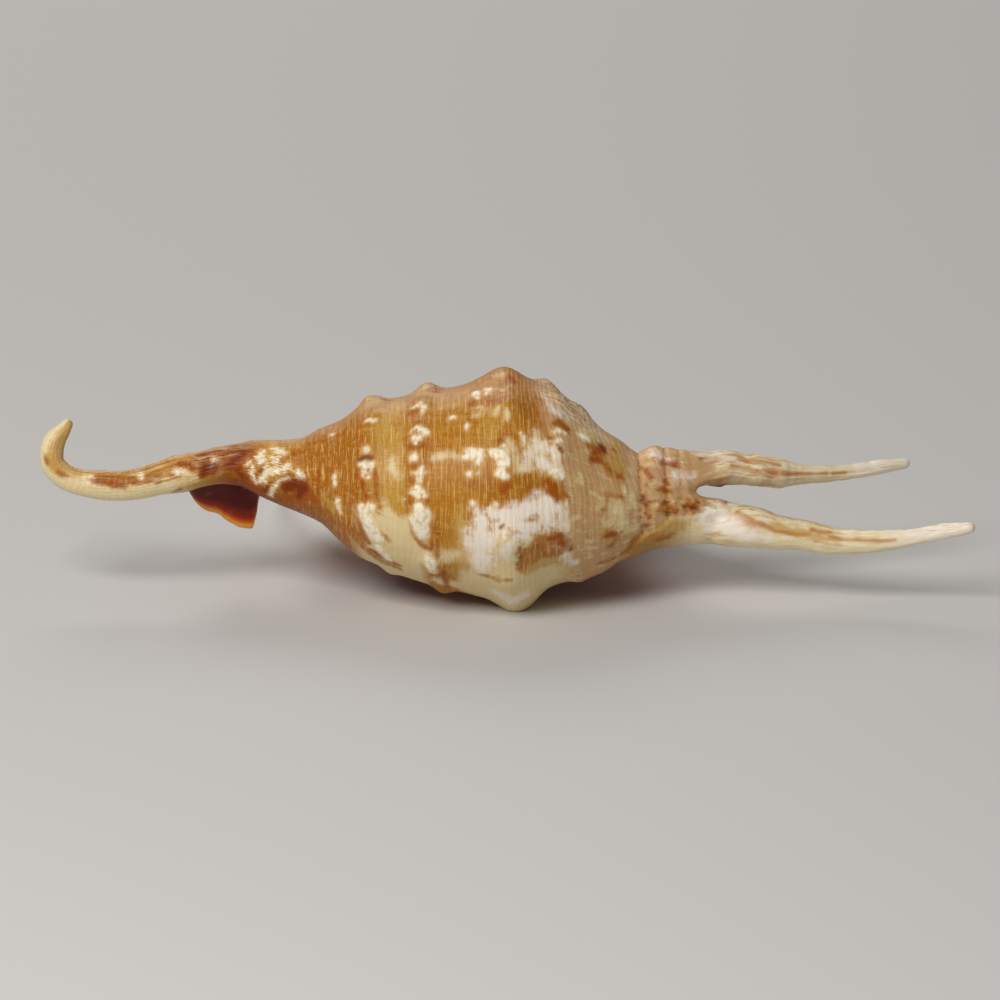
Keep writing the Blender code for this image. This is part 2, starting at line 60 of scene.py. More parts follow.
# The side outline: x, height of the coil axis, top and bottom of the shell, without its knobs
SIDE = ((-60.0, 1.8, 4.05, -0.45), (-57.0, 1.65, 3.9, -0.6), (-54.0, 2.0, 4.3, -0.3),
        (-51.0, 2.8, 5.25, 0.3), (-48.0, 3.5, 6.3, 0.65), (-45.0, 4.1, 6.75, 1.5),
        (-42.0, 4.7, 7.5, 1.95), (-39.0, 4.9, 8.1, 1.65), (-36.0, 4.3, 8.55, 0.15),
        (-33.0, 3.6, 8.5, -1.2), (-30.0, 2.9, 8.8, -2.4), (-27.0, 2.2, 10.3, -3.8),
        (-24.0, 1.7, 11.5, -6.6), (-21.0, 1.35, 13.5, -9.0), (-18.0, 1.1, 14.3, -10.3),
        (-15.0, 0.85, 15.0, -11.7), (-10.5, 0.6, 15.9, -13.1), (-6.0, 0.35, 16.7, -14.2),
        (-3.0, 0.2, 17.4, -14.9), (0.75, 0.0, 17.9, -15.4), (4.5, -0.2, 17.3, -14.9),
        (7.5, -0.35, 16.4, -13.4), (10.5, -0.5, 14.2, -12.6), (13.5, -0.7, 11.7, -12.0),
        (15.0, -0.8, 10.4, -11.5), (18.0, -0.95, 8.55, -9.6), (20.6, -1.1, 6.85, -8.4),
        (23.4, -1.3, 7.6, -7.4), (26.0, -1.4, 7.25, -7.1), (29.0, -1.5, 6.85, -6.6))

# How far the whorl reaches towards the viewer and away from them: x, left and right
BREADTH = ((-60.0, 2.2, 2.2), (-54.0, 2.25, 2.25), (-48.0, 2.75, 2.75), (-42.0, 2.8, 2.8),
           (-39.0, 3.2, 3.2), (-36.0, 4.2, 4.2), (-30.0, 5.8, 6.2), (-24.0, 9.2, 9.8),
           (-18.0, 12.6, 13.0), (-10.5, 15.3, 15.4), (0.0, 17.0, 16.8), (7.5, 15.4, 15.2),
           (15.0, 10.9, 11.0), (18.0, 9.0, 9.4), (20.6, 7.0, 8.0), (24.0, 5.3, 6.5),
           (27.0, 3.8, 5.2), (29.0, 2.8, 4.5))

# The lip's free edge: x, distance w, height u, slope in degrees and thickness
LIP = ((-48.9, 2.6, 2.6, -80.0, 1.0), (-47.7, 4.4, 0.6, -80.0, 1.1), (-46.7, 5.8, -1.0, -78.0, 1.2),
       (-45.4, 7.0, -2.1, -76.0, 1.3), (-42.6, 8.2, -3.1, -74.0, 1.4), (-38.8, 9.3, -4.6, -72.0, 1.5),
       (-37.3, 9.4, -4.7, -70.0, 1.5), (-36.7, 8.8, -2.9, -60.0, 1.5), (-36.2, 8.1, 0.2, -40.0, 1.6),
       (-35.4, 7.9, 1.9, -25.0, 1.8), (-34.0, 9.4, 2.2, -16.0, 2.0), (-31.0, 18.0, 2.0, -10.0, 2.2),
       (-27.5, 25.0, 2.0, -8.0, 2.4), (-24.0, 28.5, 2.0, -6.0, 2.5), (-17.0, 32.5, 2.0, -5.0, 2.5),
       (-10.5, 35.0, 2.0, -4.0, 2.6), (-4.0, 35.8, 2.0, -4.0, 2.6), (3.5, 36.0, 2.0, -4.0, 2.6),
       (9.5, 33.0, 2.3, -4.0, 2.6), (15.0, 29.5, 2.5, -4.0, 2.6), (19.0, 24.0, 2.4, -4.0, 2.6),
       (24.0, 14.5, 1.2, -6.0, 2.8), (27.0, 9.5, 0.5, -8.0, 3.0), (29.0, 7.0, 0.2, -8.0, 3.2))
LIP_BEGINS = (-48.9, -46.4)
WING_BEGINS = (-40.0, -34.0)
WING_PULLS = (0.9, 1.1)
WING_HOLLOW = 0.06

# The aperture: x, how far its cavity has opened (0 to 1), the lip's inner margin (w and height over
# the axis) and the inner whorls' share of the whorl's radius
APERTURE = ((-73.5, 0.0, 0.0, 0.0, 0.45), (-36.0, 0.0, 3.6, -2.8, 0.45),
            (-31.0, 0.16, 6.5, -3.2, 0.42), (-26.0, 0.6, 10.6, -3.8, 0.36),
            (-20.0, 0.95, 13.9, -4.4, 0.34), (-12.0, 1.0, 16.2, -4.8, 0.37),
            (-4.0, 1.0, 16.8, -4.8, 0.4), (5.0, 0.95, 16.0, -4.8, 0.45),
            (11.0, 0.7, 13.2, -5.4, 0.52), (16.0, 0.25, 8.8, -6.4, 0.6),
            (20.0, 0.0, 5.4, -6.5, 0.62), (25.0, 0.0, 3.4, -5.6, 0.62), (29.0, 0.0, 3.0, -4.8, 0.62))
APERTURE_ENDS = 25.5
GROOVE_BEGINS = -73.0
GROOVE_DEPTH = 0.12
WALL = 1.8

# Angles around a loop: the inner lip, where the lip leaves the whorl, the canal's lip, the back of
# the cavity closed and open, and what parts the cavity's two walls there
INNER_LIP = 292.0
TAKE_OFF = 46.0
TAKE_OFF_STEP = 5.0
CANAL_LIP = -46.0
CAVITY_BACK = (-60.0, 212.0)
CAVITY_PARTING = 4.0

# Shares of the cavity's two walls over which they leave the margins, and how far the glaze reaches
# round the inner lip, in degrees
WALLS_LEAVE = (0.25, 0.28)
LIP_GLAZE = 14.0

# Knobs on the whorl: x, angle, height, half length along x and half width around
KNOBS = ((-18.9, 88.0, 1.1, 1.7, 2.6), (-20.2, 91.0, 0.6, 0.9, 2.4), (-18.6, 120.0, 0.5, 1.4, 2.2),
         (-18.4, 150.0, 0.4, 1.4, 2.0), (-18.4, 176.0, 0.4, 1.4, 2.0), (-18.8, 55.0, 1.0, 1.8, 2.6),
         (-11.0, 91.0, 1.4, 1.8, 2.5), (-11.6, 118.0, 0.6, 1.4, 2.0), (-12.0, 140.0, 0.5, 1.3, 1.8),
         (-12.2, 162.0, 0.5, 1.3, 1.8), (-12.2, 192.0, 0.6, 1.5, 2.4), (-10.6, 232.0, 0.5, 1.5, 2.2),
         (-8.6, 266.0, 0.9, 1.5, 2.4), (-16.6, 268.0, 0.5, 1.2, 2.0), (-10.8, 60.0, 1.5, 1.8, 2.8),
         (0.5, 92.0, 1.65, 3.4, 4.0), (1.6, 132.0, 0.8, 2.6, 3.2), (1.4, 168.0, 0.6, 2.4, 3.0),
         (1.6, 206.0, 0.6, 2.4, 3.0), (1.6, 238.0, 0.8, 2.4, 3.0), (2.6, 269.0, 2.2, 3.0, 3.6),
         (0.8, 50.0, 3.0, 3.6, 4.4),
         (6.9, 84.0, 1.1, 1.7, 2.4), (9.0, 112.0, 0.5, 1.2, 1.8), (9.3, 150.0, 0.4, 1.2, 1.8),
         (12.2, 84.0, 0.8, 1.3, 2.4), (12.0, 266.0, 0.5, 1.3, 2.0), (8.8, 56.0, 1.2, 1.8, 2.6))

# Digits that leave the spire end, as side views give them: x, u, w and radius
LOWER_DIGIT = ((32.0, -4.35, 0.5, 3.2), (34.0, -4.6, 0.4, 3.25), (36.5, -4.5, 0.4, 3.2),
               (39.0, -4.8, 0.4, 2.85),
               (42.0, -5.4, 0.3, 2.55), (45.0, -5.7, 0.1, 2.3), (48.0, -6.3, -0.2, 2.2),
               (51.0, -6.7, -0.6, 2.0), (54.0, -6.75, -1.1, 1.8), (57.0, -6.6, -1.7, 1.6),
               (60.0, -6.3, -2.4, 1.38), (63.0, -5.85, -3.1, 1.2), (66.0, -5.3, -3.9, 1.15),
               (69.0, -4.85, -4.7, 1.0), (70.3, -4.62, -5.1, 0.85))
UPPER_DIGIT = ((31.6, 4.9, 1.9, 2.4), (34.0, 5.0, 2.4, 2.05), (36.5, 4.4, 3.2, 2.15),
               (39.0, 4.0, 3.9, 2.3),
               (42.0, 3.6, 4.9, 2.2), (44.0, 3.5, 5.6, 1.75), (46.0, 3.45, 6.3, 1.42),
               (49.0, 3.5, 7.5, 1.28), (52.0, 3.7, 8.7, 1.15), (55.0, 4.1, 10.0, 1.1),
               (58.0, 4.65, 11.3, 1.0), (61.0, 5.05, 12.6, 0.8))

# Digits that leave the lip: where their root runs along x, the row of knobs that the rib on the
# lip's back comes from, and x, y, height and radius as the shell stands
LIP_DIGITS = (((-27.4, -21.2), -18.8, ((-25.8, 30.6, 9.6, 2.5), (-28.6, 34.6, 9.2, 2.1),
                                       (-31.2, 38.4, 7.8, 1.7), (-33.0, 42.4, 5.2, 1.3),
                                       (-33.4, 45.8, 2.4, 0.9), (-33.0, 48.4, 0.5, 0.5))),
              ((-14.0, -7.6), -10.6, ((-11.4, 38.6, 7.2, 2.5), (-11.2, 44.6, 7.0, 2.1),
                                      (-9.8, 50.6, 6.0, 1.65), (-7.2, 56.0, 4.6, 1.25),
                                      (-3.6, 60.4, 3.4, 0.9), (0.2, 63.0, 2.6, 0.5))),
              ((0.4, 6.8), 0.8, ((4.6, 38.8, 7.1, 2.5), (6.8, 44.6, 6.8, 2.1),
                                 (9.6, 50.0, 5.6, 1.65), (13.0, 54.4, 4.2, 1.25),
                                 (16.8, 57.6, 3.1, 0.9), (20.4, 59.2, 2.4, 0.5))),
              ((12.2, 18.2), 8.8, ((17.6, 32.8, 9.5, 2.5), (20.0, 38.0, 8.8, 2.1),
                                   (21.9, 43.4, 6.8, 1.65), (23.1, 48.4, 4.1, 1.2),
                                   (23.6, 52.6, 1.6, 0.85), (23.5, 55.4, 0.5, 0.5))))
RIB_HEIGHT = 1.0
RIB_RISES_BY = 0.3
RIB_WIDTH = 2.4
RIBS_BEGIN = (-34.0, -30.0)
ROOT_SWELL = 1.5
ROUNDING = (-0.5, 3.0)

# The spire's tip, in the hollow between the two digits beside it
APEX_ANGLE = 184.0
APEX_SPREAD = 15.0
APEX_LENGTH = 2.6
APEX_RISES = (25.5, 29.0)
PARTING_ANGLE = 164.0
CROTCH_DEPTH = 3.6

# Mesh: cells around the whorl, over the lip's back, around its edge, under it and down a wall of the
# cavity, the distance between loops along x and between rings along a digit, and how far from a
# root the surface is rounded off
WHORL_CELLS = 158
BACK_CELLS = 24
EDGE_CELLS = 10
UNDER_CELLS = 14
CAVITY_CELLS = 12
CROTCH_CELLS = 12
NOSE_RINGS = 4
SPACING = ((-80.0, 0.6), (-61.0, 0.65), (-50.0, 0.65), (-47.5, 0.4), (-41.0, 0.4), (-38.5, 0.28),
           (-37.2, 0.2), (-35.6, 0.2), (-34.0, 0.36), (-30.0, 0.42), (-20.0, 0.42), (20.0, 0.42),
           (22.0, 0.36), (29.0, 0.36))
RING_SPACING = 0.45
FILLET_FADES = (0.3, 3.2)
MARGIN_FILLET = 0.5
POINTS_AT_ONCE = 4096
GROWTH_RADIUS = 14.0


def glide(table, positions):
    """Reads the columns of a table at positions, along a smooth curve that never overshoots."""
    rows = np.array(table, dtype=float)
    places = rows[:, 0]
    values = rows[:, 1:]
    slopes = np.diff(values, axis=0) / np.diff(places)[:, None]
    before = slopes[:-1]
    after = slopes[1:]
    agree = before * after > 0.0
    total = np.where(agree, before + after, 1.0)
    between = np.where(agree, 2.0 * before * after / total, 0.0)
    tangents = np.concatenate((slopes[:1], between, slopes[-1:]))
    positions = np.clip(np.asarray(positions, dtype=float), places[0], places[-1])
    cell = np.clip(np.searchsorted(places, positions) - 1, 0, len(places) - 2)
    width = (places[cell + 1] - places[cell])[..., None]
    t = (positions[..., None] - places[cell][..., None]) / width
    start = (1.0 + 2.0 * t) * (1.0 - t) ** 2 * values[cell]
    start = start + t * (1.0 - t) ** 2 * width * tangents[cell]
    end = t * t * (3.0 - 2.0 * t) * values[cell + 1]
    return start + end + t * t * (t - 1.0) * width * tangents[cell + 1]


def ramp(low, high, value):
    """Goes smoothly from 0 at low to 1 at high."""
    t = np.clip((value - low) / (high - low), 0.0, 1.0)
    return t * t * (3.0 - 2.0 * t)


def along_hook():
    """The hook's points against the distance along it, counted down from its first x."""
    points = np.array(HOOK)
    steps = np.hypot(np.diff(points[:, 0]), np.diff(points[:, 1]))
    distance = HOOK[0][0] - np.concatenate(([0.0], np.cumsum(steps)))
    return np.column_stack((distance, points))[::-1]


HOOK_PATH = along_hook()
TIP = HOOK_PATH[0, 0]
STRAIGHT = HOOK[0][0]


def spine(places):
    """The middle of the loops: x and u."""
    curled = glide(HOOK_PATH, places)[..., :2]
    straight = np.stack((places, glide(SIDE, places)[..., 0]), axis=-1)
    return np.where((places < STRAIGHT)[..., None], curled, straight)


def reach(places):
    """Radii of the whorl: up, left, down and right."""
    tube = glide(HOOK_PATH, places)[..., 2:3].repeat(4, axis=-1)
    axis, top, bottom = np.moveaxis(glide(SIDE, places), -1, 0)
    left, right = np.moveaxis(glide(BREADTH, places), -1, 0)
    whorl = np.stack((top - axis, left, axis - bottom, right), axis=-1)
    return np.where((places < STRAIGHT)[..., None], tube, whorl)


def knob_height(places, turn, radius):
    """Height of the knobs over the whorl."""
    height = np.zeros(np.broadcast(places, turn).shape)
    for x, angle, rise, length, width in KNOBS:
        along = (places - x) / length
        around = np.radians(turn - angle) * radius / width
        height += rise * np.exp(-along * along - around * around)
    return height


def on_whorl(places, turn, sink=0.0):
    """Points of the whorl's surface, or sunk below it, in the planes of the loops: w and up."""
    up, left, down, right = np.moveaxis(reach(places), -1, 0)
    angle = np.radians(turn)
    across = np.where(np.cos(angle) > 0.0, right, left) - sink
    rise = np.where(np.sin(angle) > 0.0, up, down) - sink
    return np.stack((across * np.cos(angle), rise * np.sin(angle)), axis=-1)


def rib_height(places, share):
    """Height of the ribs on the lip's back, a share of the way from the whorl to the edge."""
    height = 0.0
    for (start, end), row, _ in LIP_DIGITS:
        middle = row + (0.5 * (start + end) - row) * share
        height = height + RIB_HEIGHT * np.exp(-((places - middle) / RIB_WIDTH) ** 2)
    return height * ramp(0.0, RIB_RISES_BY, share)


def root_swell(places):
    """How much thicker the lip's edge is where a digit leaves it."""
    middles = [0.5 * (start + end) for (start, end), _, _ in LIP_DIGITS]
    return sum(ROOT_SWELL * np.exp(-((places - middle) / RIB_WIDTH) ** 2) for middle in middles)


def bow(start, start_pull, end, end_pull, share):
    """Points on the smooth curve between two points that leaves and arrives along the pulls."""
    t = share[..., None]
    curve = (1.0 + 2.0 * t) * (1.0 - t) ** 2 * start + t * (1.0 - t) ** 2 * start_pull
    return curve + t * t * (3.0 - 2.0 * t) * end + t * t * (t - 1.0) * end_pull


def along_x():
    """Places of the loops, from the tip of the canal to the spire."""
    places = [TIP]
    while places[-1] < SIDE[-1][0]:
        places.append(places[-1] + glide(SPACING, places[-1])[0])
    places[-1] = SIDE[-1][0]
    return np.array(places)


places = along_x()
column = places[:, None]

# The outside of the whorl, from the inner lip underneath, up the viewer's side and over
whorl_turn = np.linspace(INNER_LIP, TAKE_OFF, WHORL_CELLS + 1)[None, :]
whorl = on_whorl(column, whorl_turn)
radius = np.linalg.norm(whorl, axis=-1)
whorl = whorl * (1.0 + knob_height(column, whorl_turn, radius) / radius)[..., None]

# The lip: its back, its rounded edge and its underside as far as its inner margin
lip_cells = BACK_CELLS + EDGE_CELLS + UNDER_CELLS
tube = on_whorl(column, np.linspace(TAKE_OFF, CANAL_LIP, lip_cells + 1)[None, 1:])
far, height, slope, thickness = (value[:, None] for value in glide(LIP, places).T)
_, margin_w, margin_up, _ = (value[:, None] for value in glide(APERTURE, places).T)
slope = np.radians(slope)
outward = np.stack((np.cos(slope), np.sin(slope)), axis=-1)
normal = np.stack((-outward[..., 1], outward[..., 0]), axis=-1)
edge = np.stack((far, height - spine(column)[..., 1]), axis=-1)
half = 0.5 * (thickness + root_swell(column))[..., None]
top = edge - outward * half + normal * half
bottom = edge - outward * half - normal * half
start = on_whorl(column, TAKE_OFF)
heading = start - on_whorl(column, TAKE_OFF + TAKE_OFF_STEP)
heading = heading / np.linalg.norm(heading, axis=-1, keepdims=True)
span = np.linalg.norm(top - start, axis=-1, keepdims=True)
back_share = np.linspace(0.0, 1.0, BACK_CELLS + 1)[None, 1:]
back = bow(start, heading * span * WING_PULLS[0], top, outward * span * WING_PULLS[1], back_share)
back = back + normal * (rib_height(column, back_share) * ramp(*RIBS_BEGIN, column))[..., None]
bend = np.linspace(math.pi / 2.0, -math.pi / 2.0, EDGE_CELLS + 1)[None, 1:, None]
edge_points = edge + half * (outward * (np.cos(bend) - 1.0) + normal * np.sin(bend))
wide = ramp(*WING_BEGINS, column)[..., None]
margin = on_whorl(column, CANAL_LIP) * (1.0 - wide)
margin = margin + np.stack((margin_w, margin_up), axis=-1) * wide
under_share = np.linspace(0.0, 1.0, UNDER_CELLS + 1)[None, 1:, None]
hollow = normal * np.linalg.norm(margin - bottom, axis=-1, keepdims=True) * WING_HOLLOW * wide
under = bottom + (margin - bottom) * under_share + hollow * np.sin(math.pi * under_share)
grown = ramp(*LIP_BEGINS, column)[..., None]
lip = tube * (1.0 - grown) + np.concatenate((back, edge_points, under), axis=1) * grown
margin = lip[:, -1]

# The cavity: from the lip's margin along its outer wall, and back along the inner whorl
opened, _, _, core_share = (value[:, None] for value in glide(APERTURE, places).T)
wall_share = np.linspace(0.0, 1.0, CAVITY_CELLS + 1)[None, 1:]
first_turn = np.degrees(np.arctan2(margin[:, 1], margin[:, 0]))[:, None]
last_turn = INNER_LIP - 360.0
back_turn = CAVITY_BACK[0] + (CAVITY_BACK[1] - CAVITY_BACK[0]) * opened
outer_turn = first_turn + (back_turn + CAVITY_PARTING - first_turn) * wall_share
core = on_whorl(column, outer_turn) * core_share[..., None]
depth = (opened + (1.0 - opened) * GROOVE_DEPTH)[..., None]
deep = core + (on_whorl(column, outer_turn, WALL) - core) * depth
circle = np.stack((np.cos(np.radians(outer_turn)), np.sin(np.radians(outer_turn))), axis=-1)
rim = np.linalg.norm(margin, axis=-1)[:, None, None] * circle
drawn_in = ramp(0.0, np.maximum(WALLS_LEAVE[0], 1.0 - opened), wall_share)[..., None]
outer_wall = rim + (deep - rim) * drawn_in
inner_turn = last_turn + (back_turn - CAVITY_PARTING - last_turn) * wall_share
core = on_whorl(column, inner_turn) * core_share[..., None]
rim = on_whorl(column, inner_turn)
drawn_in = ramp(0.0, np.maximum(WALLS_LEAVE[1], 1.0 - opened), wall_share)[..., None]
inner_wall = (rim + (core - rim) * drawn_in)[:, ::-1]


def in_space(outline):
    """Places the flat points of the loops across the spine: x, w and u."""
    middle = spine(column)
    ahead = spine(column + SPINE_STEP)
    behind = spine(np.maximum(column - SPINE_STEP, TIP))
    lean = np.arctan2(ahead[..., 1] - behind[..., 1], ahead[..., 0] - behind[..., 0])
    lean = lean * (1.0 - ramp(*UPRIGHT_AGAIN, column))
    across = outline[..., 0]
    up = outline[..., 1]
    off_tip = (np.degrees(np.arctan2(up, across)) % 360.0 - APEX_ANGLE) / APEX_SPREAD
    x = middle[..., 0] - up * np.sin(lean) + APEX_LENGTH * ramp(*APEX_RISES, column) * np.exp(-off_tip ** 2)
    return np.stack((x, across, middle[..., 1] + up * np.cos(lean)), axis=-1)


class Skin:
    """The shell's surface as it is built: points, what is known at each, and faces over them."""

    MARKS = ("place", "turn", "wing", "inside", "fillet", "along", "share")

    def __init__(self):
        self.points = np.zeros((0, 3))
        self.marks = {name: np.zeros(0) for name in self.MARKS}
        self.grain = np.zeros((0, 3))
        self.faces = []

    def add(self, points, grain=None, **marks):
        """Adds points with their marks, and gives back their numbers in the same layout."""
        shape = points.shape[:-1]
        count = int(np.prod(shape))
        first = len(self.points)
        self.points = np.concatenate((self.points, points.reshape(-1, 3)))
        for name in self.MARKS:
            value = np.broadcast_to(marks.get(name, 0.0), shape).reshape(-1)
            self.marks[name] = np.concatenate((self.marks[name], value))
        grain = np.zeros(shape + (3,)) if grain is None else grain
        self.grain = np.concatenate((self.grain, grain.reshape(-1, 3)))
        return np.arange(first, first + count).reshape(shape)

    def strip(self, one, other):
        """Joins two open rows of points with a row of faces."""
        self.faces.extend(zip(one[:-1], one[1:], other[1:], other[:-1]))

    def sleeve(self, ring, other):
        """Joins two closed rings of points."""
        self.strip(np.append(ring, ring[0]), np.append(other, other[0]))

    def close(self, ring, forward, radius):
        """Rounds off a ring with a domed nose."""
        middle = self.points[ring].mean(axis=0)
        spokes = self.points[ring] - middle
        marks = {name: self.marks[name][ring] for name in self.MARKS}
        for k in range(1, NOSE_RINGS):
            angle = 0.5 * math.pi * k / NOSE_RINGS
            points = middle + spokes * math.cos(angle) + forward * radius * math.sin(angle)
            nose = self.add(points, self.grain[ring], **marks)
            self.sleeve(ring, nose)
            ring = nose
        pole = self.add((middle + forward * radius)[None], self.grain[ring].mean(axis=0)[None],
                        **{name: self.marks[name][ring].mean() for name in self.MARKS})[0]
        self.faces.extend((ring[k], ring[(k + 1) % len(ring)], pole) for k in range(len(ring)))


skin = Skin()
span_mm = np.linalg.norm(lip - start, axis=-1)
lip_wing = np.concatenate((back_share[0], np.ones(EDGE_CELLS), 1.0 - under_share[0, :, 0]))[None, :]
lip_inside = np.concatenate((np.zeros(BACK_CELLS), np.linspace(0.0, 1.0, EDGE_CELLS + 1)[1:],
                             np.ones(UNDER_CELLS)))[None, :]
lip_turn = TAKE_OFF - np.degrees(span_mm / GROWTH_RADIUS)
whorl_inside = ramp(INNER_LIP - LIP_GLAZE, INNER_LIP, whorl_turn)
outside = np.concatenate((
    skin.add(in_space(whorl), place=column, turn=whorl_turn, inside=whorl_inside),
    skin.add(in_space(lip), place=column, turn=lip_turn, wing=lip_wing * grown[..., 0],
             inside=lip_inside * grown[..., 0])), axis=1)
first_edge = WHORL_CELLS + BACK_CELLS
root_loops = [(int(np.argmin(np.abs(places - start))), int(np.argmin(np.abs(places - end))))
              for (start, end), _, _ in LIP_DIGITS]


def is_root(i, j):
    return first_edge <= j < first_edge + EDGE_CELLS and any(a <= i < b for a, b in root_loops)


for i in range(len(places) - 1):
    cuts = [j for j in range(outside.shape[1]) if is_root(i, j)]
    if cuts:
        skin.strip(outside[i][:cuts[0] + 1], outside[i + 1][:cuts[0] + 1])
        skin.strip(outside[i][cuts[-1] + 1:], outside[i + 1][cuts[-1] + 1:])
    else:
        skin.strip(outside[i], outside[i + 1])

open_loops = [i for i in range(len(places)) if GROOVE_BEGINS < places[i] < APERTURE_ENDS]
cavity = skin.add(in_space(np.concatenate((outer_wall, inner_wall), axis=1))[open_loops],
                  place=column[open_loops], inside=1.0,
                  turn=np.concatenate((outer_turn, inner_turn[:, ::-1]), axis=1)[open_loops])
cavity_rows = {i: np.concatenate((outside[i][-1:], row, outside[i][:1]))
               for i, row in zip(open_loops, cavity)}
for i in range(len(places) - 1):
    if i in cavity_rows and i + 1 in cavity_rows:
        skin.strip(cavity_rows[i], cavity_rows[i + 1])
    else:
        skin.strip(outside[i][[-1, 0]], outside[i + 1][[-1, 0]])
for i in (open_loops[0], open_loops[-1]):
    row = cavity_rows[i]
    skin.strip(row[:CAVITY_CELLS + 1], row[CAVITY_CELLS + 1:][::-1])


def lay_over(point):
    """Turns a point of the standing shell back into the drawing: x, w and u."""
    x, y, z = point
    height = z - STANDING_DEPTH
    w = y * math.cos(REST_ROLL) - height * math.sin(REST_ROLL)
    return (x, w, y * math.sin(REST_ROLL) + height * math.cos(REST_ROLL))


def grow_digit(root, path):
    """Grows a tapering digit from a ring of root points along rows of x, w, u and radius."""
    rim = skin.points[root]
    root_middle = rim.mean(axis=0)
    rows = [(0.0, *root_middle, path[0][3])] + [(k + 1.0, *row) for k, row in enumerate(path)]
    length = sum(math.dist(a[1:4], b[1:4]) for a, b in zip(rows, rows[1:]))
    steps = np.linspace(0.0, len(path), int(length / RING_SPACING) + 1)
    track = glide(rows, steps)
    centres = track[:, :3]
    radii = track[:, 3]
    travelled = np.concatenate(([0.0], np.cumsum(np.linalg.norm(np.diff(centres, axis=0), axis=1))))
    directions = np.gradient(centres, axis=0)
    directions /= np.linalg.norm(directions, axis=1)[:, None]
    spokes = rim - root_middle
    lengths = np.linalg.norm(spokes, axis=1)
    lengths = lengths * path[0][3] / lengths.mean()
    across = spokes[0]
    ring = root
    root_marks = {name: skin.marks[name][root] for name in ("place", "turn", "wing", "inside")}
    for k in range(1, len(steps)):
        forward = directions[k]
        across = across - forward * np.dot(across, forward)
        across /= np.linalg.norm(across)
        side = np.cross(forward, across)
        if k == 1:
            angles = np.unwrap(np.arctan2(spokes @ side, spokes @ across))
            circuit = math.copysign(2.0 * math.pi, angles[-1] - angles[0])
            even = angles[0] + circuit * np.arange(len(root)) / len(root)
        rounding = ramp(*ROUNDING, steps[k] - 1.0)
        angle = angles * (1.0 - rounding) + even * rounding
        size = lengths * (1.0 - rounding) + rounding * radii[k]
        circle = np.outer(np.cos(angle), across) + np.outer(np.sin(angle), side)
        leaving = ramp(0.0, 1.0, steps[k])
        points = centres[k] + spokes * (1.0 - leaving) + circle * size[:, None] * leaving
        grain = np.stack((np.cos(even), np.sin(even), np.full(len(root), travelled[k])), axis=1)
        new_ring = skin.add(points, grain, along=travelled[k], share=travelled[k] / travelled[-1],
                            fillet=1.0 - ramp(*FILLET_FADES, travelled[k]), **root_marks)
        skin.sleeve(ring, new_ring)
        ring = new_ring
    skin.close(ring, directions[-1], radii[-1])
    skin.grain[root] = np.stack((np.cos(even), np.sin(even), np.zeros(len(root))), axis=1)


roots = []
for (first, last), (_, _, rows) in zip(root_loops, LIP_DIGITS):
    low = first_edge
    high = first_edge + EDGE_CELLS
    ring = np.concatenate((outside[first:last + 1, low], outside[last, low + 1:high + 1],
                           outside[first:last, high][::-1], outside[first, low + 1:high][::-1]))
    roots.append((ring, [(*lay_over(row[:3]), row[3]) for row in rows]))

last_loop = outside[-1]
left = round((INNER_LIP - PARTING_ANGLE) / (INNER_LIP - TAKE_OFF) * WHORL_CELLS)
right = first_edge + EDGE_CELLS // 2
share = np.linspace(0.0, 1.0, CROTCH_CELLS + 1)[1:-1, None]
crotch_points = skin.points[last_loop[left]] * (1.0 - share) + skin.points[last_loop[right]] * share
crotch_points[:, 0] -= CROTCH_DEPTH * np.sin(math.pi * share[:, 0])
crotch = skin.add(crotch_points, place=places[-1], turn=PARTING_ANGLE, fillet=1.0)
roots.append((np.concatenate((last_loop[left:right + 1], crotch[::-1])),
              [(x, w, u, r) for x, u, w, r in UPPER_DIGIT]))
roots.append((np.concatenate((last_loop[right:], last_loop[:left + 1], crotch)),
              [(x, w, u, r) for x, u, w, r in LOWER_DIGIT]))
for ring, path in roots:
    grow_digit(ring, path)
tip_direction = np.array((HOOK[-1][0] - HOOK[-2][0], 0.0, HOOK[-1][1] - HOOK[-2][1]))
skin.close(outside[0], tip_direction / np.linalg.norm(tip_direction), HOOK[-1][2])

# Points near a root, and on the margins of the aperture, are rounded off later
rim_points = skin.points[np.concatenate([ring for ring, _ in roots])]
for first in range(0, outside.size, POINTS_AT_ONCE):
    batch = outside.reshape(-1)[first:first + POINTS_AT_ONCE]
    gap = np.min(np.linalg.norm(skin.points[batch][:, None] - rim_points[None], axis=-1), axis=1)
    skin.marks["fillet"][batch] = 1.0 - ramp(*FILLET_FADES, gap)
margins = np.concatenate([row[[0, 1, 2, -3, -2, -1]] for row in cavity_rows.values()])
skin.marks["fillet"][margins] = np.maximum(skin.marks["fillet"][margins], MARGIN_FILLET)

x, w, u = skin.points.T
y = w * math.cos(REST_ROLL) + u * math.sin(REST_ROLL)
z = u * math.cos(REST_ROLL) - w * math.sin(REST_ROLL) + STANDING_DEPTH
standing = (np.stack((x, y, z), axis=1) - FOOTPRINT_MIDDLE) * MM
shell_mesh = bpy.data.meshes.new("shell")
shell_mesh.from_pydata(standing.tolist(), [], [tuple(int(k) for k in face) for face in skin.faces])
outward = bmesh.new()
outward.from_mesh(shell_mesh)
bmesh.ops.recalc_face_normals(outward, faces=outward.faces)
outward.to_mesh(shell_mesh)
outward.free()
for name, values in skin.marks.items():
    layer = shell_mesh.attributes.new(name, "FLOAT", "POINT")
    layer.data.foreach_set("value", values.astype(np.float32))
layer = shell_mesh.attributes.new("grain", "FLOAT_VECTOR", "POINT")
layer.data.foreach_set("vector", skin.grain.astype(np.float32).ravel())
shell = bpy.data.objects.new("spider_conch_shell", shell_mesh)
bpy.context.collection.objects.link(shell)


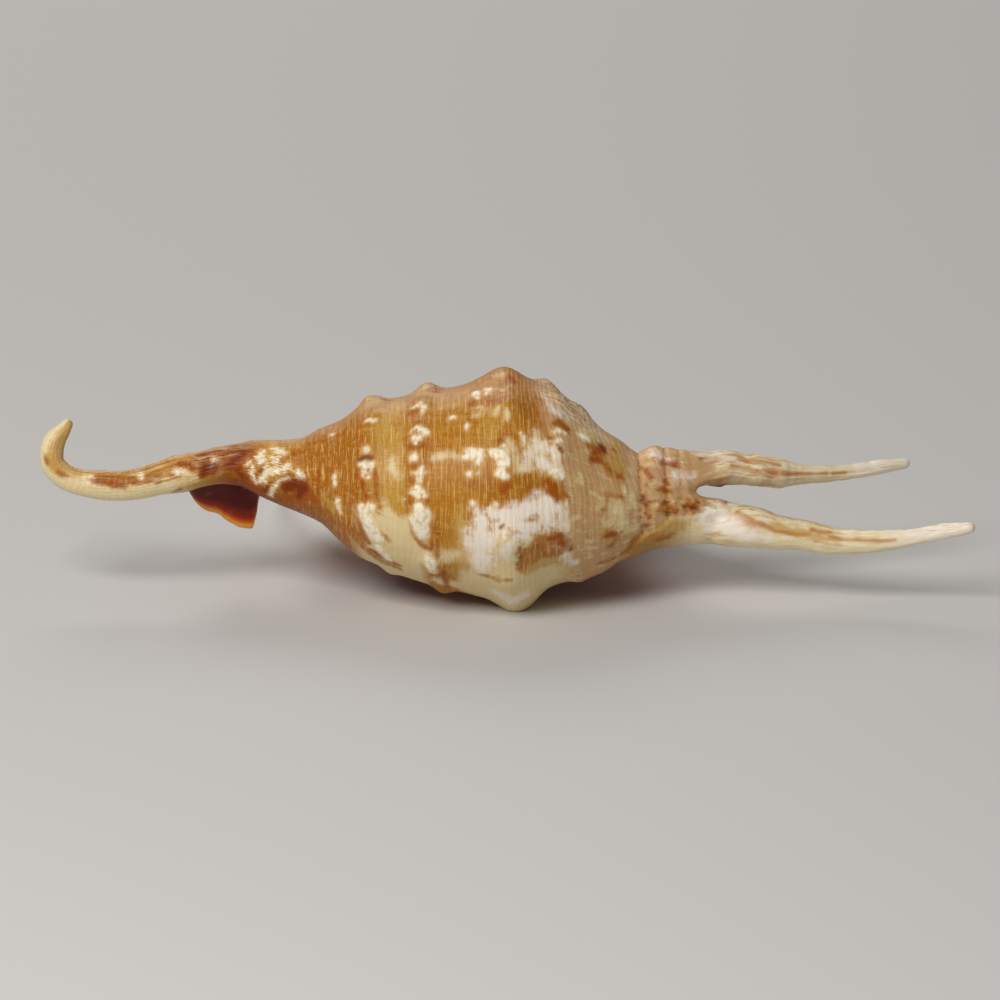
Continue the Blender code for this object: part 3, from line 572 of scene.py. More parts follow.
# The shell's marks. Spots, bars and blotches that the mantle left in the outer layer, and a few painted
# highlights, which are noted where they stand. No rule gives their places, so brush strokes lay them down
# through points of x, u and half width, in millimetres.
# The points were picked by eye, in pixels, in a picture of the left side, and a scratch script converted
# most of them to millimetres. Each colour is a layer of its own.
GOLD_STROKES = (
    ((-17.8, 11.6, 0.85), (-16.6, 9.8, 1.45), (-16.0, 7.5, 1.65), (-16.6, 2.4, 1.15), (-16.4, -0.1, 1.15)),
    ((-68.3, 5.7, 0.65), (-67.3, 4.3, 0.9), (-65.2, 3.3, 0.75), (-62.2, 2.6, 0.65)),
    ((-61.6, 3.0, 0.75), (-57.4, 2.5, 1.0), (-51.8, 2.6, 0.9)),
    ((41.4, -4.0, 0.7), (43.8, -4.6, 0.85), (46.6, -4.9, 0.7)),
    ((24.4, -5.0, 0.95), (26.0, -4.5, 0.95), (27.7, -4.4, 0.65)), ((21.2, -6.6, 0.8), (22.5, -6.0, 0.8)),
    ((17.2, 8.7, 1.15), (17.9, 3.3, 1.15), (17.4, 6.0, 1.15)), ((16.0, -5.9, 0.95), (17.2, -5.9, 0.95)),
    ((-1.0, -8.7, 0.45), (-0.8, -10.7, 0.55), (1.4, -8.2, 0.25)), ((-1.8, -7.6, 0.75), (-1.8, -9.3, 0.95)),
    ((50.5, -6.8, 0.6), (47.6, -6.1, 0.6)), ((-3.0, 12.5, 0.75), (-0.8, 11.0, 0.9), (-1.8, 8.8, 0.75)),
    ((-9.0, 13.8, 0.75), (-6.8, 14.2, 0.75)), ((6.0, -9.2, 0.75), (8.4, -8.8, 0.9), (9.9, -9.8, 0.75)),
    ((-16.2, 8.5, 1.05), (-15.6, 4.0, 1.35)), ((41.4, -4.0, 0.75), (44.7, -5.0, 0.75), (47.7, -5.5, 0.6)),
    ((-8.1, -7.7, 1.2), (-7.8, -11.2, 1.35)), ((-26.7, -0.5, 0.75), (-25.2, -2.2, 0.75)),
    ((-6.0, -2.6, 0.8), (-6.0, -7.0, 0.9), (-5.8, -10.8, 0.9)),
    ((4.8, -10.8, 1.1), (7.0, -9.8, 1.3), (9.4, -9.6, 1.0)),
)
CREAM_STROKES = (
    ((-16.8, -2.4, 1.15), (-15.8, -4.9, 2.1), (-15.5, -7.8, 2.7)),
    ((-14.8, -5.5, 1.7), (-13.7, -8.9, 1.9), (-8.7, -9.3, 1.35), (-5.8, -8.9, 0.55)),
    ((-1.2, -13.7, 1.15), (1.4, -15.4, 1.7), (3.2, -14.3, 1.15)),
    ((-48.6, 3.6, 0.6), (-47.5, 3.3, 0.75), (-45.7, 2.6, 0.6), (-48.9, 2.1, 0.6)),
    ((-65.8, 2.0, 1.0), (-60.6, 1.0, 1.15), (-55.7, 0.7, 1.0), (-50.9, 1.3, 1.0)),
    ((5.5, 9.8, 0.55), (6.1, 7.5, 1.15), (6.5, 4.9, 1.35)),
    ((12.0, 9.8, 0.75), (14.5, 10.6, 0.95), (16.4, 9.1, 0.55)), ((18.1, -2.0, 1.15), (18.3, -5.3, 1.15)),
    ((32.4, -4.1, 0.95), (30.4, -4.4, 0.8)), ((1.5, 8.3, 0.4), (1.7, 6.4, 0.45)),
    ((-9.9, 6.3, 0.35), (-5.7, 6.2, 0.35)), ((-9.0, -13.0, 1.35), (-6.3, -13.7, 1.35)),
    # The second stroke on this line, on the top of the big knob of the shoulder, is a painted highlight
    ((-16.6, 5.2, 0.55), (-15.6, 3.9, 0.7)), ((-0.8, 18.6, 0.3), (0.9, 18.4, 0.3)),
    ((2.5, 7.5, 0.6), (2.8, 4.7, 0.6)), ((4.3, 8.5, 0.6), (4.6, 4.8, 0.9)),
    # The second stroke on this line, on the top of the knob at x -11, is a painted highlight
    ((0.0, -6.5, 1.2), (0.9, -8.8, 1.5), (0.8, -10.7, 1.2)), ((-12.0, 16.6, 0.3), (-10.8, 16.8, 0.3)),
    ((-0.5, 13.8, 0.25), (-1.2, 12.6, 0.2)), ((-2.5, 13.4, 0.2), (-3.3, 12.9, 0.2)),
    ((0.5, 12.9, 0.2), (0.9, 12.0, 0.2)), ((0.5, 16.4, 0.15), (1.6, 17.0, 0.15)),
    ((-3.5, 13.5, 0.3), (-2.4, 13.2, 0.25)), ((-19.8, -2.8, 1.05), (-18.3, -6.5, 1.2), (-16.8, -9.5, 0.9)),
    ((19.5, 7.0, 0.45), (20.0, 2.5, 0.6), (19.8, -1.2, 0.6)), ((16.8, -0.5, 0.45), (17.4, -3.5, 0.6)),
)
PALE_STROKES = (
    ((-3.7, -2.2, 0.55), (-3.0, -3.8, 1.15), (-2.4, -6.6, 1.7), (-2.2, -9.7, 1.55)),
    ((-1.4, -2.4, 0.95), (1.4, -2.8, 1.35), (4.1, -1.9, 1.35), (5.5, -2.0, 1.15)),
    ((3.8, -2.4, 1.15), (6.7, -0.3, 1.15), (9.3, -2.0, 0.95), (9.7, -4.3, 0.95)),
    ((6.3, 0.7, 0.75), (6.7, -0.9, 1.15), (7.0, -3.4, 1.7)),
    ((8.2, 7.2, 1.15), (8.6, 4.1, 0.95), (5.9, 6.0, 0.75)), ((9.3, -7.2, 1.15), (9.7, -8.9, 0.95)),
    # The first stroke on this line, on the root of the lower digit by the spire, is a painted highlight
    ((32.2, -2.8, 1.2), (34.3, -4.0, 0.75)), ((-0.3, -14.8, 1.2), (1.8, -15.8, 1.35), (3.6, -15.2, 1.05)),
    ((-3.0, -6.5, 1.05), (-2.7, -8.8, 1.05)), ((10.5, -9.8, 0.6), (11.1, -10.3, 0.6)),
    ((6.8, 15.3, 0.6), (8.4, 13.4, 0.75), (10.5, 12.8, 0.6)), ((0.9, -7.2, 0.75), (0.8, -9.5, 0.6)),
    ((20.7, 7.7, 0.6), (22.8, 6.8, 0.6), (25.2, 5.8, 0.6)), ((26.4, 4.0, 0.6), (28.5, 3.2, 0.6)),
    ((30.0, 6.8, 0.6), (32.4, 7.0, 0.45), (34.5, 6.2, 0.45)),
    ((30.6, -3.5, 0.9), (33.3, -2.2, 0.9), (36.0, -3.8, 0.75)), ((-4.5, -5.7, 0.6), (-4.2, -9.5, 0.6)),
    ((31.2, -4.8, 0.9), (34.2, -5.2, 1.1), (37.5, -6.0, 0.9), (40.2, -6.6, 0.5)),
    ((-1.2, -4.5, 0.9), (1.5, -4.2, 1.1), (3.6, -4.7, 1.2), (5.8, -4.6, 1.0)),
    ((-3.9, -3.6, 0.6), (-3.8, -8.0, 0.8), (-3.2, -11.0, 0.7)), ((2.2, -6.2, 0.9), (4.2, -6.0, 0.7)),
    ((5.4, 8.5, 0.3), (5.7, 5.2, 0.35)), ((6.8, 7.8, 0.3), (7.0, 4.7, 0.35)),
    ((3.9, 7.3, 0.25), (4.0, 4.3, 0.3)),
)
PINK_STROKES = (
    ((27.9, 3.4, 0.55), (28.8, 3.6, 0.4), (30.8, 4.2, 0.4)),
    ((35.1, -2.2, 0.6), (37.1, -3.5, 0.6), (38.9, -4.5, 0.35)), ((24.6, 3.6, 0.8), (25.2, 2.5, 0.65)),
    ((-43.1, 6.5, 0.45), (-42.8, 5.0, 0.55), (-42.3, 3.5, 0.4)), ((21.7, -1.3, 0.65), (20.8, 2.0, 0.55)),
    ((20.4, 7.2, 0.75), (20.1, 2.2, 0.95)), ((26.4, 1.7, 0.4), (27.7, 1.3, 0.55)),
)
TOAST_STROKES = (
    ((-20.8, 11.4, 0.65), (-19.3, 11.0, 0.55)), ((-13.5, 8.7, 0.95), (-11.6, 7.9, 0.9), (-12.8, 4.7, 0.95)),
    ((-21.3, 3.7, 0.3), (-20.4, -0.1, 0.4)), ((-18.5, 3.3, 0.35), (-18.5, -0.1, 0.25)),
    ((-13.4, 13.3, 0.55), (-10.9, 13.7, 0.55)), ((-13.0, 1.4, 0.55), (-12.8, -0.9, 0.5)),
    ((1.7, 17.7, 0.95), (4.0, 16.7, 1.15), (5.9, 14.8, 1.25), (4.7, 12.9, 0.75)),
    ((-2.7, 15.2, 0.75), (0.5, 14.8, 0.9)), ((-5.2, 2.2, 0.75), (-1.8, 1.4, 0.95), (-1.2, -0.5, 0.65)),
    ((7.0, 2.8, 0.9), (8.6, 1.4, 1.05), (8.8, -0.1, 0.5)),
    ((0.0, 8.3, 0.55), (0.7, 3.3, 0.75), (0.7, 0.7, 1.05), (0.2, -2.0, 0.3)),
    ((1.7, 2.2, 0.2), (1.7, 0.3, 0.25)), ((4.4, 2.8, 0.5), (4.0, -0.1, 0.25)),
    ((8.6, 11.0, 0.4), (10.3, 10.4, 0.45)), ((9.1, 8.3, 0.4), (9.7, 5.2, 0.25)),
    ((13.5, 8.1, 0.75), (15.3, 7.2, 1.05), (14.3, 5.6, 0.75)), ((17.8, 3.7, 0.4), (18.3, 3.1, 0.45)),
    ((16.4, 0.3, 0.25), (16.0, -2.2, 0.4)), ((15.9, 0.5, 0.15), (18.1, 0.3, 0.25)),
    ((16.2, -5.9, 0.55), (17.6, -5.9, 0.35)), ((6.8, 2.1, 0.9), (8.4, 0.8, 0.75)),
    ((-4.8, 4.0, 0.6), (0.0, 2.0, 0.75)), ((16.8, 4.0, 0.75), (14.7, 6.8, 0.75), (13.8, 5.5, 0.45)),
    ((16.8, -7.7, 0.6), (18.3, -5.8, 0.45)), ((17.4, -9.5, 0.45), (15.0, -10.3, 0.45)),
    ((-8.3, -14.3, 0.45), (-5.6, -14.7, 0.5), (-3.7, -15.2, 0.35)),
    ((-19.0, -9.3, 0.45), (-16.0, -10.8, 0.4)), ((-10.2, -10.8, 0.2), (-7.5, -10.8, 0.25)),
    ((-3.0, -12.0, 0.25), (0.9, -12.8, 0.25)), ((-44.1, 3.9, 0.75), (-44.4, 2.9, 0.6)),
    ((-40.9, 5.6, 1.2), (-38.8, 5.5, 1.2), (-38.2, 3.9, 0.9), (-39.7, 3.0, 0.75)),
    ((-32.4, 0.9, 1.2), (-29.8, 0.9, 1.4), (-29.1, -0.7, 0.75)), ((-36.9, 2.9, 0.6), (-36.3, 1.5, 0.45)),
    ((-34.8, 5.0, 0.35), (-32.4, 5.9, 0.5), (-31.1, 6.7, 0.5)), ((-47.5, 5.5, 0.65), (-46.0, 4.7, 0.6)),
    ((-60.6, 3.1, 0.65), (-57.4, 2.6, 0.7), (-53.3, 3.0, 0.55)), ((-48.6, 5.2, 0.7), (-47.0, 5.2, 0.65)),
    ((27.6, -1.9, 0.4), (28.4, -0.4, 0.3), (28.7, -2.0, 0.4)), ((29.7, -1.6, 0.4), (30.4, -1.7, 0.35)),
    ((21.7, 0.1, 0.25), (22.0, -1.1, 0.3), (22.5, -3.3, 0.4)), ((24.4, -2.4, 0.55), (26.8, -2.1, 0.55)),
    ((20.6, -6.7, 0.8), (19.0, -8.7, 0.8)), ((23.6, -6.6, 0.65), (26.0, -5.8, 0.4)),
    ((40.7, 3.3, 0.5), (43.5, 3.2, 0.35), (46.9, 3.6, 0.2)), ((36.5, 5.6, 0.2), (42.3, 5.3, 0.15)),
    ((37.1, -3.1, 0.35), (40.1, -4.2, 0.4), (42.3, -4.9, 0.25)), ((53.2, -5.9, 0.25), (56.6, -6.1, 0.25)),
    ((3.0, -11.0, 0.75), (4.0, -9.0, 1.2), (6.0, -7.7, 1.35), (8.1, -6.8, 1.35), (9.9, -7.3, 1.05),
     (10.6, -8.2, 0.6)), ((-10.5, -3.5, 0.9), (-9.9, -5.8, 0.9), (-9.5, -9.5, 0.6)),
    ((2.4, 16.2, 1.2), (4.5, 15.0, 1.2), (5.2, 12.8, 0.9)), ((-9.9, 16.5, 0.45), (-9.0, 16.0, 0.45)),
    ((-18.0, 15.0, 0.45), (-16.8, 14.5, 0.45)), ((-4.5, 15.8, 0.45), (-3.3, 17.2, 0.6), (-2.1, 18.1, 0.6)),
    ((1.2, 18.1, 0.6), (2.4, 17.7, 0.75), (3.3, 16.6, 0.75)), ((3.6, 14.2, 0.75), (4.5, 12.5, 0.9)),
    ((-4.8, 14.2, 0.6), (-3.6, 14.2, 0.45)), ((-3.0, -12.0, 0.25), (-0.3, -12.8, 0.25), (2.1, -12.5, 0.2)),
    ((-18.9, -8.4, 0.45), (-17.7, -10.3, 0.45)),
    ((-16.8, -9.5, 0.45), (-15.3, -11.2, 0.45)),
    ((-21.0, -2.0, 0.4), (-20.4, -3.5, 0.4), (-19.5, -4.7, 0.3)),
    ((-18.1, -5.7, 0.45), (-17.1, -6.6, 0.4)), ((5.4, 2.5, 0.9), (8.4, 1.7, 1.05), (9.9, -0.2, 0.75)),
    ((12.1, 12.8, 0.35), (12.8, 12.0, 0.35)), ((26.7, 0.2, 0.25), (26.7, -2.2, 0.25)),
    ((28.1, 0.1, 0.3), (28.2, -2.3, 0.3)), ((29.3, 0.2, 0.3), (29.4, -2.4, 0.3)),
    ((30.4, -0.2, 0.25), (30.5, -2.2, 0.25)),
    ((24.0, -2.2, 0.45), (25.2, -0.8, 0.6)), ((24.0, 1.3, 0.45), (25.8, 1.0, 0.45)),
    ((-32.4, 1.7, 1.2), (-30.0, 0.8, 1.5), (-27.3, -1.0, 1.2)),
    ((3.3, -10.3, 0.9), (6.0, -7.2, 1.2), (9.0, -6.5, 1.2)),
    ((3.9, -10.2, 1.0), (6.3, -8.7, 1.3), (9.0, -8.3, 1.1)),
    ((-8.4, -11.5, 0.45), (-8.1, -12.8, 0.45)),
    ((-2.4, 14.0, 0.45), (0.0, 14.7, 0.45)), ((-24.3, -6.5, 0.6), (-22.2, -8.8, 0.6)),
    ((-23.6, -3.2, 1.35), (-22.4, -5.2, 1.25), (-21.3, -7.0, 1.05), (-20.0, -8.5, 0.8), (-18.2, -9.8, 0.7),
     (-16.1, -10.8, 0.5)), ((-24.9, -4.5, 0.9), (-22.8, -7.5, 0.9)),
)
RUST_STROKES = (
    ((-20.8, 11.4, 0.2), (-18.7, 12.3, 0.25)),
    ((-21.4, 3.6, 0.2), (-20.9, 2.2, 0.3), (-20.4, -0.1, 0.25), (-20.2, -1.1, 0.15)),
    ((-18.9, 4.3, 0.3), (-18.7, 2.2, 0.25), (-18.5, -0.1, 0.15), (-18.4, -1.8, 0.1)),
    ((-10.9, 16.4, 0.2), (-9.8, 16.1, 0.45), (-9.3, 16.0, 0.2)),
    ((-13.4, 12.9, 0.3), (-13.0, 13.4, 0.4), (-12.1, 13.4, 0.25)), ((-12.2, 11.6, 0.4),),
    ((-13.4, 8.0, 0.45), (-12.0, 8.1, 0.45)), ((-13.2, 4.8, 0.4), (-11.8, 4.8, 0.5), (-11.4, 4.4, 0.25)),
    ((-13.1, 2.2, 0.3),), ((-13.5, -0.7, 0.25),), ((-11.1, -0.6, 0.35), (-10.9, -1.3, 0.2)),
    ((-4.0, 14.8, 0.4), (-4.6, 14.1, 0.25)),
    ((-13.8, -3.6, 0.15), (-13.2, -5.3, 0.3), (-12.5, -6.6, 0.35), (-11.6, -7.6, 0.35), (-10.6, -8.1, 0.25)),
    ((-25.2, 4.1, 0.2), (-25.4, 1.8, 0.25)), ((8.5, 11.0, 0.3), (9.4, 11.2, 0.55), (10.4, 10.4, 0.3)),
    ((7.3, 9.2, 0.15), (7.9, 9.1, 0.15)), ((7.8, 8.3, 0.15),), ((13.7, 6.0, 0.4), (15.1, 5.8, 0.45)),
    ((18.2, 3.3, 0.4),), ((18.3, 0.5, 0.25),), ((16.1, -5.9, 0.25), (16.9, -5.9, 0.5), (17.6, -5.9, 0.15)),
    ((17.0, 7.5, 0.2), (17.4, 7.3, 0.1)), ((-0.2, 8.3, 0.35), (0.5, 9.1, 0.2)),
    ((9.8, 2.4, 0.15), (9.9, 0.3, 0.1)), ((10.9, -8.1, 0.25),),
    ((-8.7, -11.6, 0.5), (-8.3, -12.8, 0.45), (-8.1, -13.7, 0.35)),
    ((-47.8, 5.2, 0.55), (-47.0, 5.5, 0.35), (-46.2, 4.9, 0.45)), ((-49.0, 2.9, 0.45), (-48.3, 2.6, 0.2)),
    ((-33.2, 6.0, 0.15), (-32.5, 5.6, 0.15)), ((-33.4, 5.5, 0.1), (-32.8, 5.0, 0.1)), ((-31.1, 6.9, 0.3),),
    ((-27.6, 4.2, 0.2), (-27.5, 0.3, 0.2)),
    ((-61.3, 3.1, 0.15), (-60.8, 2.9, 0.35), (-59.3, 2.6, 0.2), (-58.2, 2.4, 0.35), (-56.6, 2.3, 0.2)),
    ((-60.6, 3.6, 0.15), (-57.4, 3.5, 0.15), (-54.9, 3.4, 0.15)),
    ((-58.2, 1.7, 0.25), (-57.2, 1.6, 0.3), (-56.4, 1.0, 0.15)), ((-54.8, 2.5, 0.15), (-52.6, 2.8, 0.15)),
    ((-53.3, 3.5, 0.15), (-51.5, 3.3, 0.25)), ((-51.8, 1.8, 0.2), (-50.9, 1.9, 0.15)),
    ((-48.9, 3.2, 0.25), (-48.2, 2.9, 0.25)), ((-47.8, 5.4, 0.45), (-46.9, 5.2, 0.35)),
    ((-49.5, 4.0, 0.25), (-49.6, 4.5, 0.15)), ((-66.6, 3.6, 0.25), (-65.8, 3.7, 0.3), (-64.8, 3.6, 0.15)),
    ((-68.3, 5.2, 0.25), (-68.6, 5.9, 0.15)), ((-48.1, 0.7, 0.25), (-49.2, 0.2, 0.15)),
    ((24.6, 5.9, 0.15), (25.3, 5.6, 0.2), (26.1, 5.4, 0.15), (26.9, 5.2, 0.15)),
    ((30.1, 6.1, 0.2), (30.6, 6.1, 0.15)), ((21.3, 4.8, 0.15), (21.8, 4.5, 0.2), (22.1, 4.2, 0.1)),
    ((22.0, 2.0, 0.15),), ((24.8, 1.4, 0.25), (25.4, 1.3, 0.2)), ((24.7, -0.5, 0.1), (25.6, -0.3, 0.15)),
    ((22.5, -0.4, 0.1), (24.4, -0.3, 0.05)), ((25.4, -1.5, 0.2), (25.6, -2.1, 0.15)),
    ((22.2, -2.8, 0.15), (22.5, -3.5, 0.15)),
    ((35.1, 5.0, 0.1), (36.8, 4.5, 0.1), (38.3, 3.7, 0.1), (39.8, 2.9, 0.1), (41.1, 2.4, 0.1)),
    ((39.8, 4.4, 0.1), (40.9, 3.2, 0.35), (41.4, 3.1, 0.3)),
    ((42.7, 3.2, 0.2), (43.7, 3.3, 0.2), (44.7, 3.7, 0.15), (45.8, 3.8, 0.15), (46.9, 3.6, 0.1)),
    ((45.2, 3.2, 0.15),), ((47.6, 3.5, 0.05), (49.2, 3.3, 0.15), (49.5, 3.4, 0.1)),
    ((50.5, 3.5, 0.15), (52.0, 3.5, 0.15)),
    ((35.7, 6.3, 0.1), (37.1, 5.9, 0.1), (38.3, 5.8, 0.1), (40.1, 5.6, 0.1), (42.3, 5.1, 0.1)),
    ((35.5, -1.9, 0.1), (37.1, -2.6, 0.1), (38.3, -3.4, 0.1), (40.0, -4.0, 0.2), (41.5, -4.8, 0.1),
     (42.7, -5.2, 0.1), (44.4, -5.5, 0.1), (46.6, -5.2, 0.1)),
    ((46.9, -4.5, 0.2), (48.2, -4.8, 0.25), (49.5, -4.9, 0.2)),
    ((49.5, -5.5, 0.05), (51.7, -5.9, 0.1), (53.8, -6.0, 0.15), (55.1, -6.1, 0.15), (56.6, -6.1, 0.15),
     (58.2, -6.3, 0.1), (59.1, -6.5, 0.05)), ((7.2, 2.6, 0.25), (8.4, 1.8, 0.5), (8.7, 0.5, 0.25)),
    ((0.9, 2.4, 0.5), (1.1, 1.2, 0.65)), ((3.2, -8.1, 0.35), (2.8, -8.9, 0.3)),
    ((9.3, -5.8, 0.35), (9.0, -7.3, 0.25)), ((3.1, -9.5, 0.35),),
    ((-40.9, 5.5, 0.6), (-38.8, 6.1, 0.65), (-38.5, 4.5, 0.65)), ((-32.1, -0.5, 0.6), (-29.1, -0.4, 0.6)),
    ((-36.3, 1.2, 0.35), (-37.9, 1.8, 0.3)), ((-43.8, 4.7, 0.75), (-43.2, 3.5, 0.6)),
    ((-40.2, 5.8, 0.75), (-39.0, 4.7, 0.6)), ((1.8, 18.3, 0.45), (2.4, 17.4, 0.45)),
    ((-2.0, 14.4, 0.15), (-0.6, 14.9, 0.2), (1.0, 15.3, 0.2)), ((-9.6, 16.6, 0.35), (-9.0, 16.4, 0.3)),
    ((-17.6, 15.1, 0.25), (-16.7, 14.9, 0.25)), ((-4.2, 14.5, 0.45),), ((0.3, 0.6, 0.6), (0.6, 1.8, 0.45)),
    ((7.8, 1.3, 0.6), (8.7, 0.5, 0.45)),
    ((14.1, 6.8, 0.45), (15.3, 7.7, 0.6)), ((9.0, 11.0, 0.45), (9.9, 10.5, 0.6), (10.5, 9.8, 0.3)),
    ((28.2, -0.3, 0.15), (28.3, -1.9, 0.15)), ((29.4, -0.2, 0.2), (29.5, -2.0, 0.15)),
    ((24.6, 5.5, 0.45), (26.4, 5.1, 0.45)),
    ((-31.5, 1.3, 0.9), (-29.4, 0.8, 0.9), (-27.9, -0.8, 0.6)), ((21.9, 4.3, 0.3), (22.8, 3.2, 0.3)),
    ((24.9, 2.8, 0.3), (25.5, 2.0, 0.3)), ((7.6, -6.4, 0.3), (8.9, -6.4, 0.4), (9.6, -7.4, 0.3)),
    ((-21.0, -4.4, 0.45), (-20.6, -5.9, 0.55), (-19.8, -7.2, 0.4)),
    ((-19.5, -8.2, 0.3), (-17.4, -9.7, 0.35), (-15.3, -10.5, 0.25)),
)
WHITE_STROKES = (
    ((-20.3, 7.3, 0.55),), ((-21.3, 5.0, 0.25), (-20.4, 5.1, 0.55), (-19.5, 5.1, 0.4)),
    ((-20.4, 4.9, 0.6), (-20.8, 3.7, 0.15)), ((-20.0, 3.2, 0.25),),
    ((-24.7, -0.5, 0.25), (-24.5, -1.3, 0.35), (-24.2, -2.4, 0.15)),
    ((-24.9, 3.7, 0.15), (-24.9, 2.2, 0.15)),
    ((-13.0, 13.8, 0.2), (-12.3, 14.1, 0.3), (-11.6, 13.6, 0.25), (-11.6, 12.9, 0.15)),
    ((-12.7, 10.6, 0.3), (-11.8, 10.2, 0.45), (-11.2, 9.8, 0.35)), ((-13.2, 9.0, 0.3), (-12.1, 9.1, 0.35)),
    ((-13.4, 10.1, 0.15),), ((-12.9, 6.4, 0.65),),
    ((-13.2, 3.6, 0.15), (-12.1, 3.5, 0.45), (-11.4, 3.6, 0.25)), ((-12.2, 3.3, 0.4), (-12.2, 2.7, 0.15)),
    ((-13.5, 1.2, 0.15), (-12.9, 0.7, 0.4), (-12.5, -0.1, 0.25)), ((-11.3, 0.5, 0.25),),
    ((-12.4, -1.7, 0.75), (-12.1, -3.2, 1.35), (-11.8, -4.5, 1.05), (-11.8, -5.7, 0.5)),
    ((-7.1, 12.3, 0.35),), ((-3.7, 15.9, 0.5), (-3.3, 15.0, 0.15)), ((-1.9, 16.4, 0.25), (-2.0, 15.8, 0.2)),
    ((-5.3, 6.5, 0.3), (-4.4, 6.2, 0.55), (-3.5, 6.2, 0.35)), ((-0.7, 6.6, 0.55),), ((-4.7, 3.9, 0.35),),
    ((-3.3, 3.8, 0.15),), ((-4.2, -1.2, 0.35),), ((-0.9, -1.6, 0.25),),
    ((-5.2, 11.1, 0.15), (-5.2, 10.2, 0.1)), ((-25.5, 9.6, 0.15),),
    ((-20.3, 11.7, 0.15), (-19.7, 11.8, 0.25), (-19.0, 11.9, 0.25)),
    ((0.6, 8.1, 0.15), (1.1, 7.2, 0.3), (1.2, 6.4, 0.15)), ((0.9, 5.3, 0.55),),
    ((-0.3, 4.1, 0.35), (0.3, 3.9, 0.45), (0.9, 3.3, 0.3)), ((3.4, 9.7, 0.1), (3.6, 8.7, 0.1)),
    ((8.4, 9.9, 0.2), (9.3, 10.0, 0.4), (9.9, 9.8, 0.2)), ((8.5, 7.9, 0.15), (9.1, 8.5, 0.45)),
    ((7.8, 4.1, 0.3), (8.8, 4.0, 0.6), (9.6, 3.7, 0.4), (9.8, 2.9, 0.15)),
    ((12.3, 9.4, 0.25), (12.9, 9.1, 0.6), (13.5, 9.1, 0.35)), ((18.7, 1.7, 0.25), (18.7, 1.2, 0.25)),
    ((10.2, -0.9, 0.2), (10.3, -5.3, 0.2)), ((-10.8, -9.3, 0.5), (-10.8, -10.7, 0.75), (-9.8, -11.6, 0.4)),
    ((-1.8, -8.5, 0.25),), ((1.1, -5.1, 0.35), (0.9, -6.3, 0.55)),
    ((-35.6, 7.1, 0.35), (-36.3, 6.2, 0.5), (-35.6, 5.8, 0.25)),
    ((-34.0, 7.8, 0.2), (-33.3, 7.5, 0.5), (-32.5, 7.1, 0.45)),
    ((-31.9, 5.0, 0.3), (-33.1, 4.4, 0.35), (-34.2, 3.8, 0.45), (-35.1, 3.5, 0.45), (-35.7, 2.7, 0.3),
     (-36.2, 2.1, 0.2)),
    ((-32.2, 2.9, 0.2), (-33.1, 2.1, 0.15), (-34.0, 1.3, 0.2), (-34.7, 0.4, 0.2), (-34.7, -0.1, 0.15)),
    ((-30.5, 3.8, 0.4), (-30.1, 2.9, 0.45)), ((-37.3, 4.2, 0.15), (-37.6, 3.3, 0.15)),
    ((-48.6, 4.2, 0.35), (-47.5, 3.9, 0.15)), ((-37.3, 3.0, 0.15), (-36.8, 1.9, 0.1)),
    ((-42.9, 5.9, 0.2), (-43.4, 5.0, 0.15)), ((-62.4, 3.5, 0.15), (-61.5, 3.5, 0.2)), ((-61.9, 2.2, 0.2),),
    ((-54.2, 3.6, 0.25), (-53.6, 3.3, 0.2)), ((23.7, -1.3, 0.15),), ((-36.0, 2.9, 0.2), (-35.4, 1.8, 0.2)),
    ((-36.3, 5.5, 0.2), (-35.3, 4.8, 0.15)), ((-34.2, 6.5, 0.15), (-34.0, 5.5, 0.15)),
    ((-33.6, 6.4, 0.15), (-33.4, 5.5, 0.1)), ((-38.2, 4.7, 0.1), (-37.9, 5.5, 0.1)),
    ((-5.1, 7.0, 0.35), (-3.0, 6.8, 0.6), (-3.6, 5.5, 0.45)), ((-10.5, -10.0, 0.75), (-9.9, -11.5, 0.6)),
    ((3.8, 4.3, 0.2),), ((-1.2, 6.9, 0.45), (-0.2, 6.6, 0.75)), ((3.8, 9.2, 0.15), (3.9, 8.0, 0.15)),
    ((-3.8, 15.9, 0.5),), ((-2.0, 16.4, 0.35),), ((8.7, 6.2, 0.45),), ((8.7, 4.0, 0.6), (9.8, 3.5, 0.45)),
    ((12.6, 9.5, 0.5), (13.5, 8.8, 0.4)), ((0.9, 5.4, 0.4),), ((-0.3, 4.0, 0.35), (0.6, 3.5, 0.3)),
    ((0.6, 8.0, 0.25), (1.0, 7.0, 0.25)), ((-12.3, 10.3, 0.25),), ((-12.9, 8.2, 0.2),),
    ((-11.9, 4.7, 0.2),),
    ((-12.6, 1.7, 0.3), (-11.4, 0.5, 0.2)), ((-20.7, -2.2, 0.75), (-20.1, -4.0, 1.05), (-18.6, -6.6, 1.05)),
    ((-18.0, -8.0, 0.8), (-17.0, -9.6, 0.6)), ((-19.6, -1.7, 0.6),),
    ((-12.5, -2.5, 0.75), (-12.2, -4.0, 1.5), (-11.9, -5.5, 1.05)), ((-20.4, 5.2, 0.6), (-20.1, 4.3, 0.6)),
    ((0.3, 5.8, 0.9),),
)
BROWN_STROKES = (
    ((-20.1, 4.1, 0.25),), ((-12.3, 8.3, 0.15),),
    ((-12.6, 10.1, 0.15),), ((8.9, 7.9, 0.2), (9.4, 7.3, 0.25), (9.8, 6.9, 0.15)),
    ((-0.1, -4.8, 0.3), (0.6, -4.3, 0.15)), ((12.2, 12.7, 0.15),), ((12.8, 11.9, 0.15),),
    ((-36.2, 3.9, 0.25), (-36.4, 3.3, 0.15)), ((-35.7, 5.2, 0.15), (-36.2, 4.8, 0.15)),
    ((-31.4, 3.5, 0.3), (-31.9, 3.7, 0.2)),
    ((-31.9, 3.2, 0.15), (-33.3, 2.6, 0.1), (-34.2, 1.8, 0.1), (-35.0, 1.2, 0.15)), ((-34.8, 2.6, 0.1),),
    ((-38.8, 1.8, 0.1), (-37.4, 1.3, 0.1)),
)
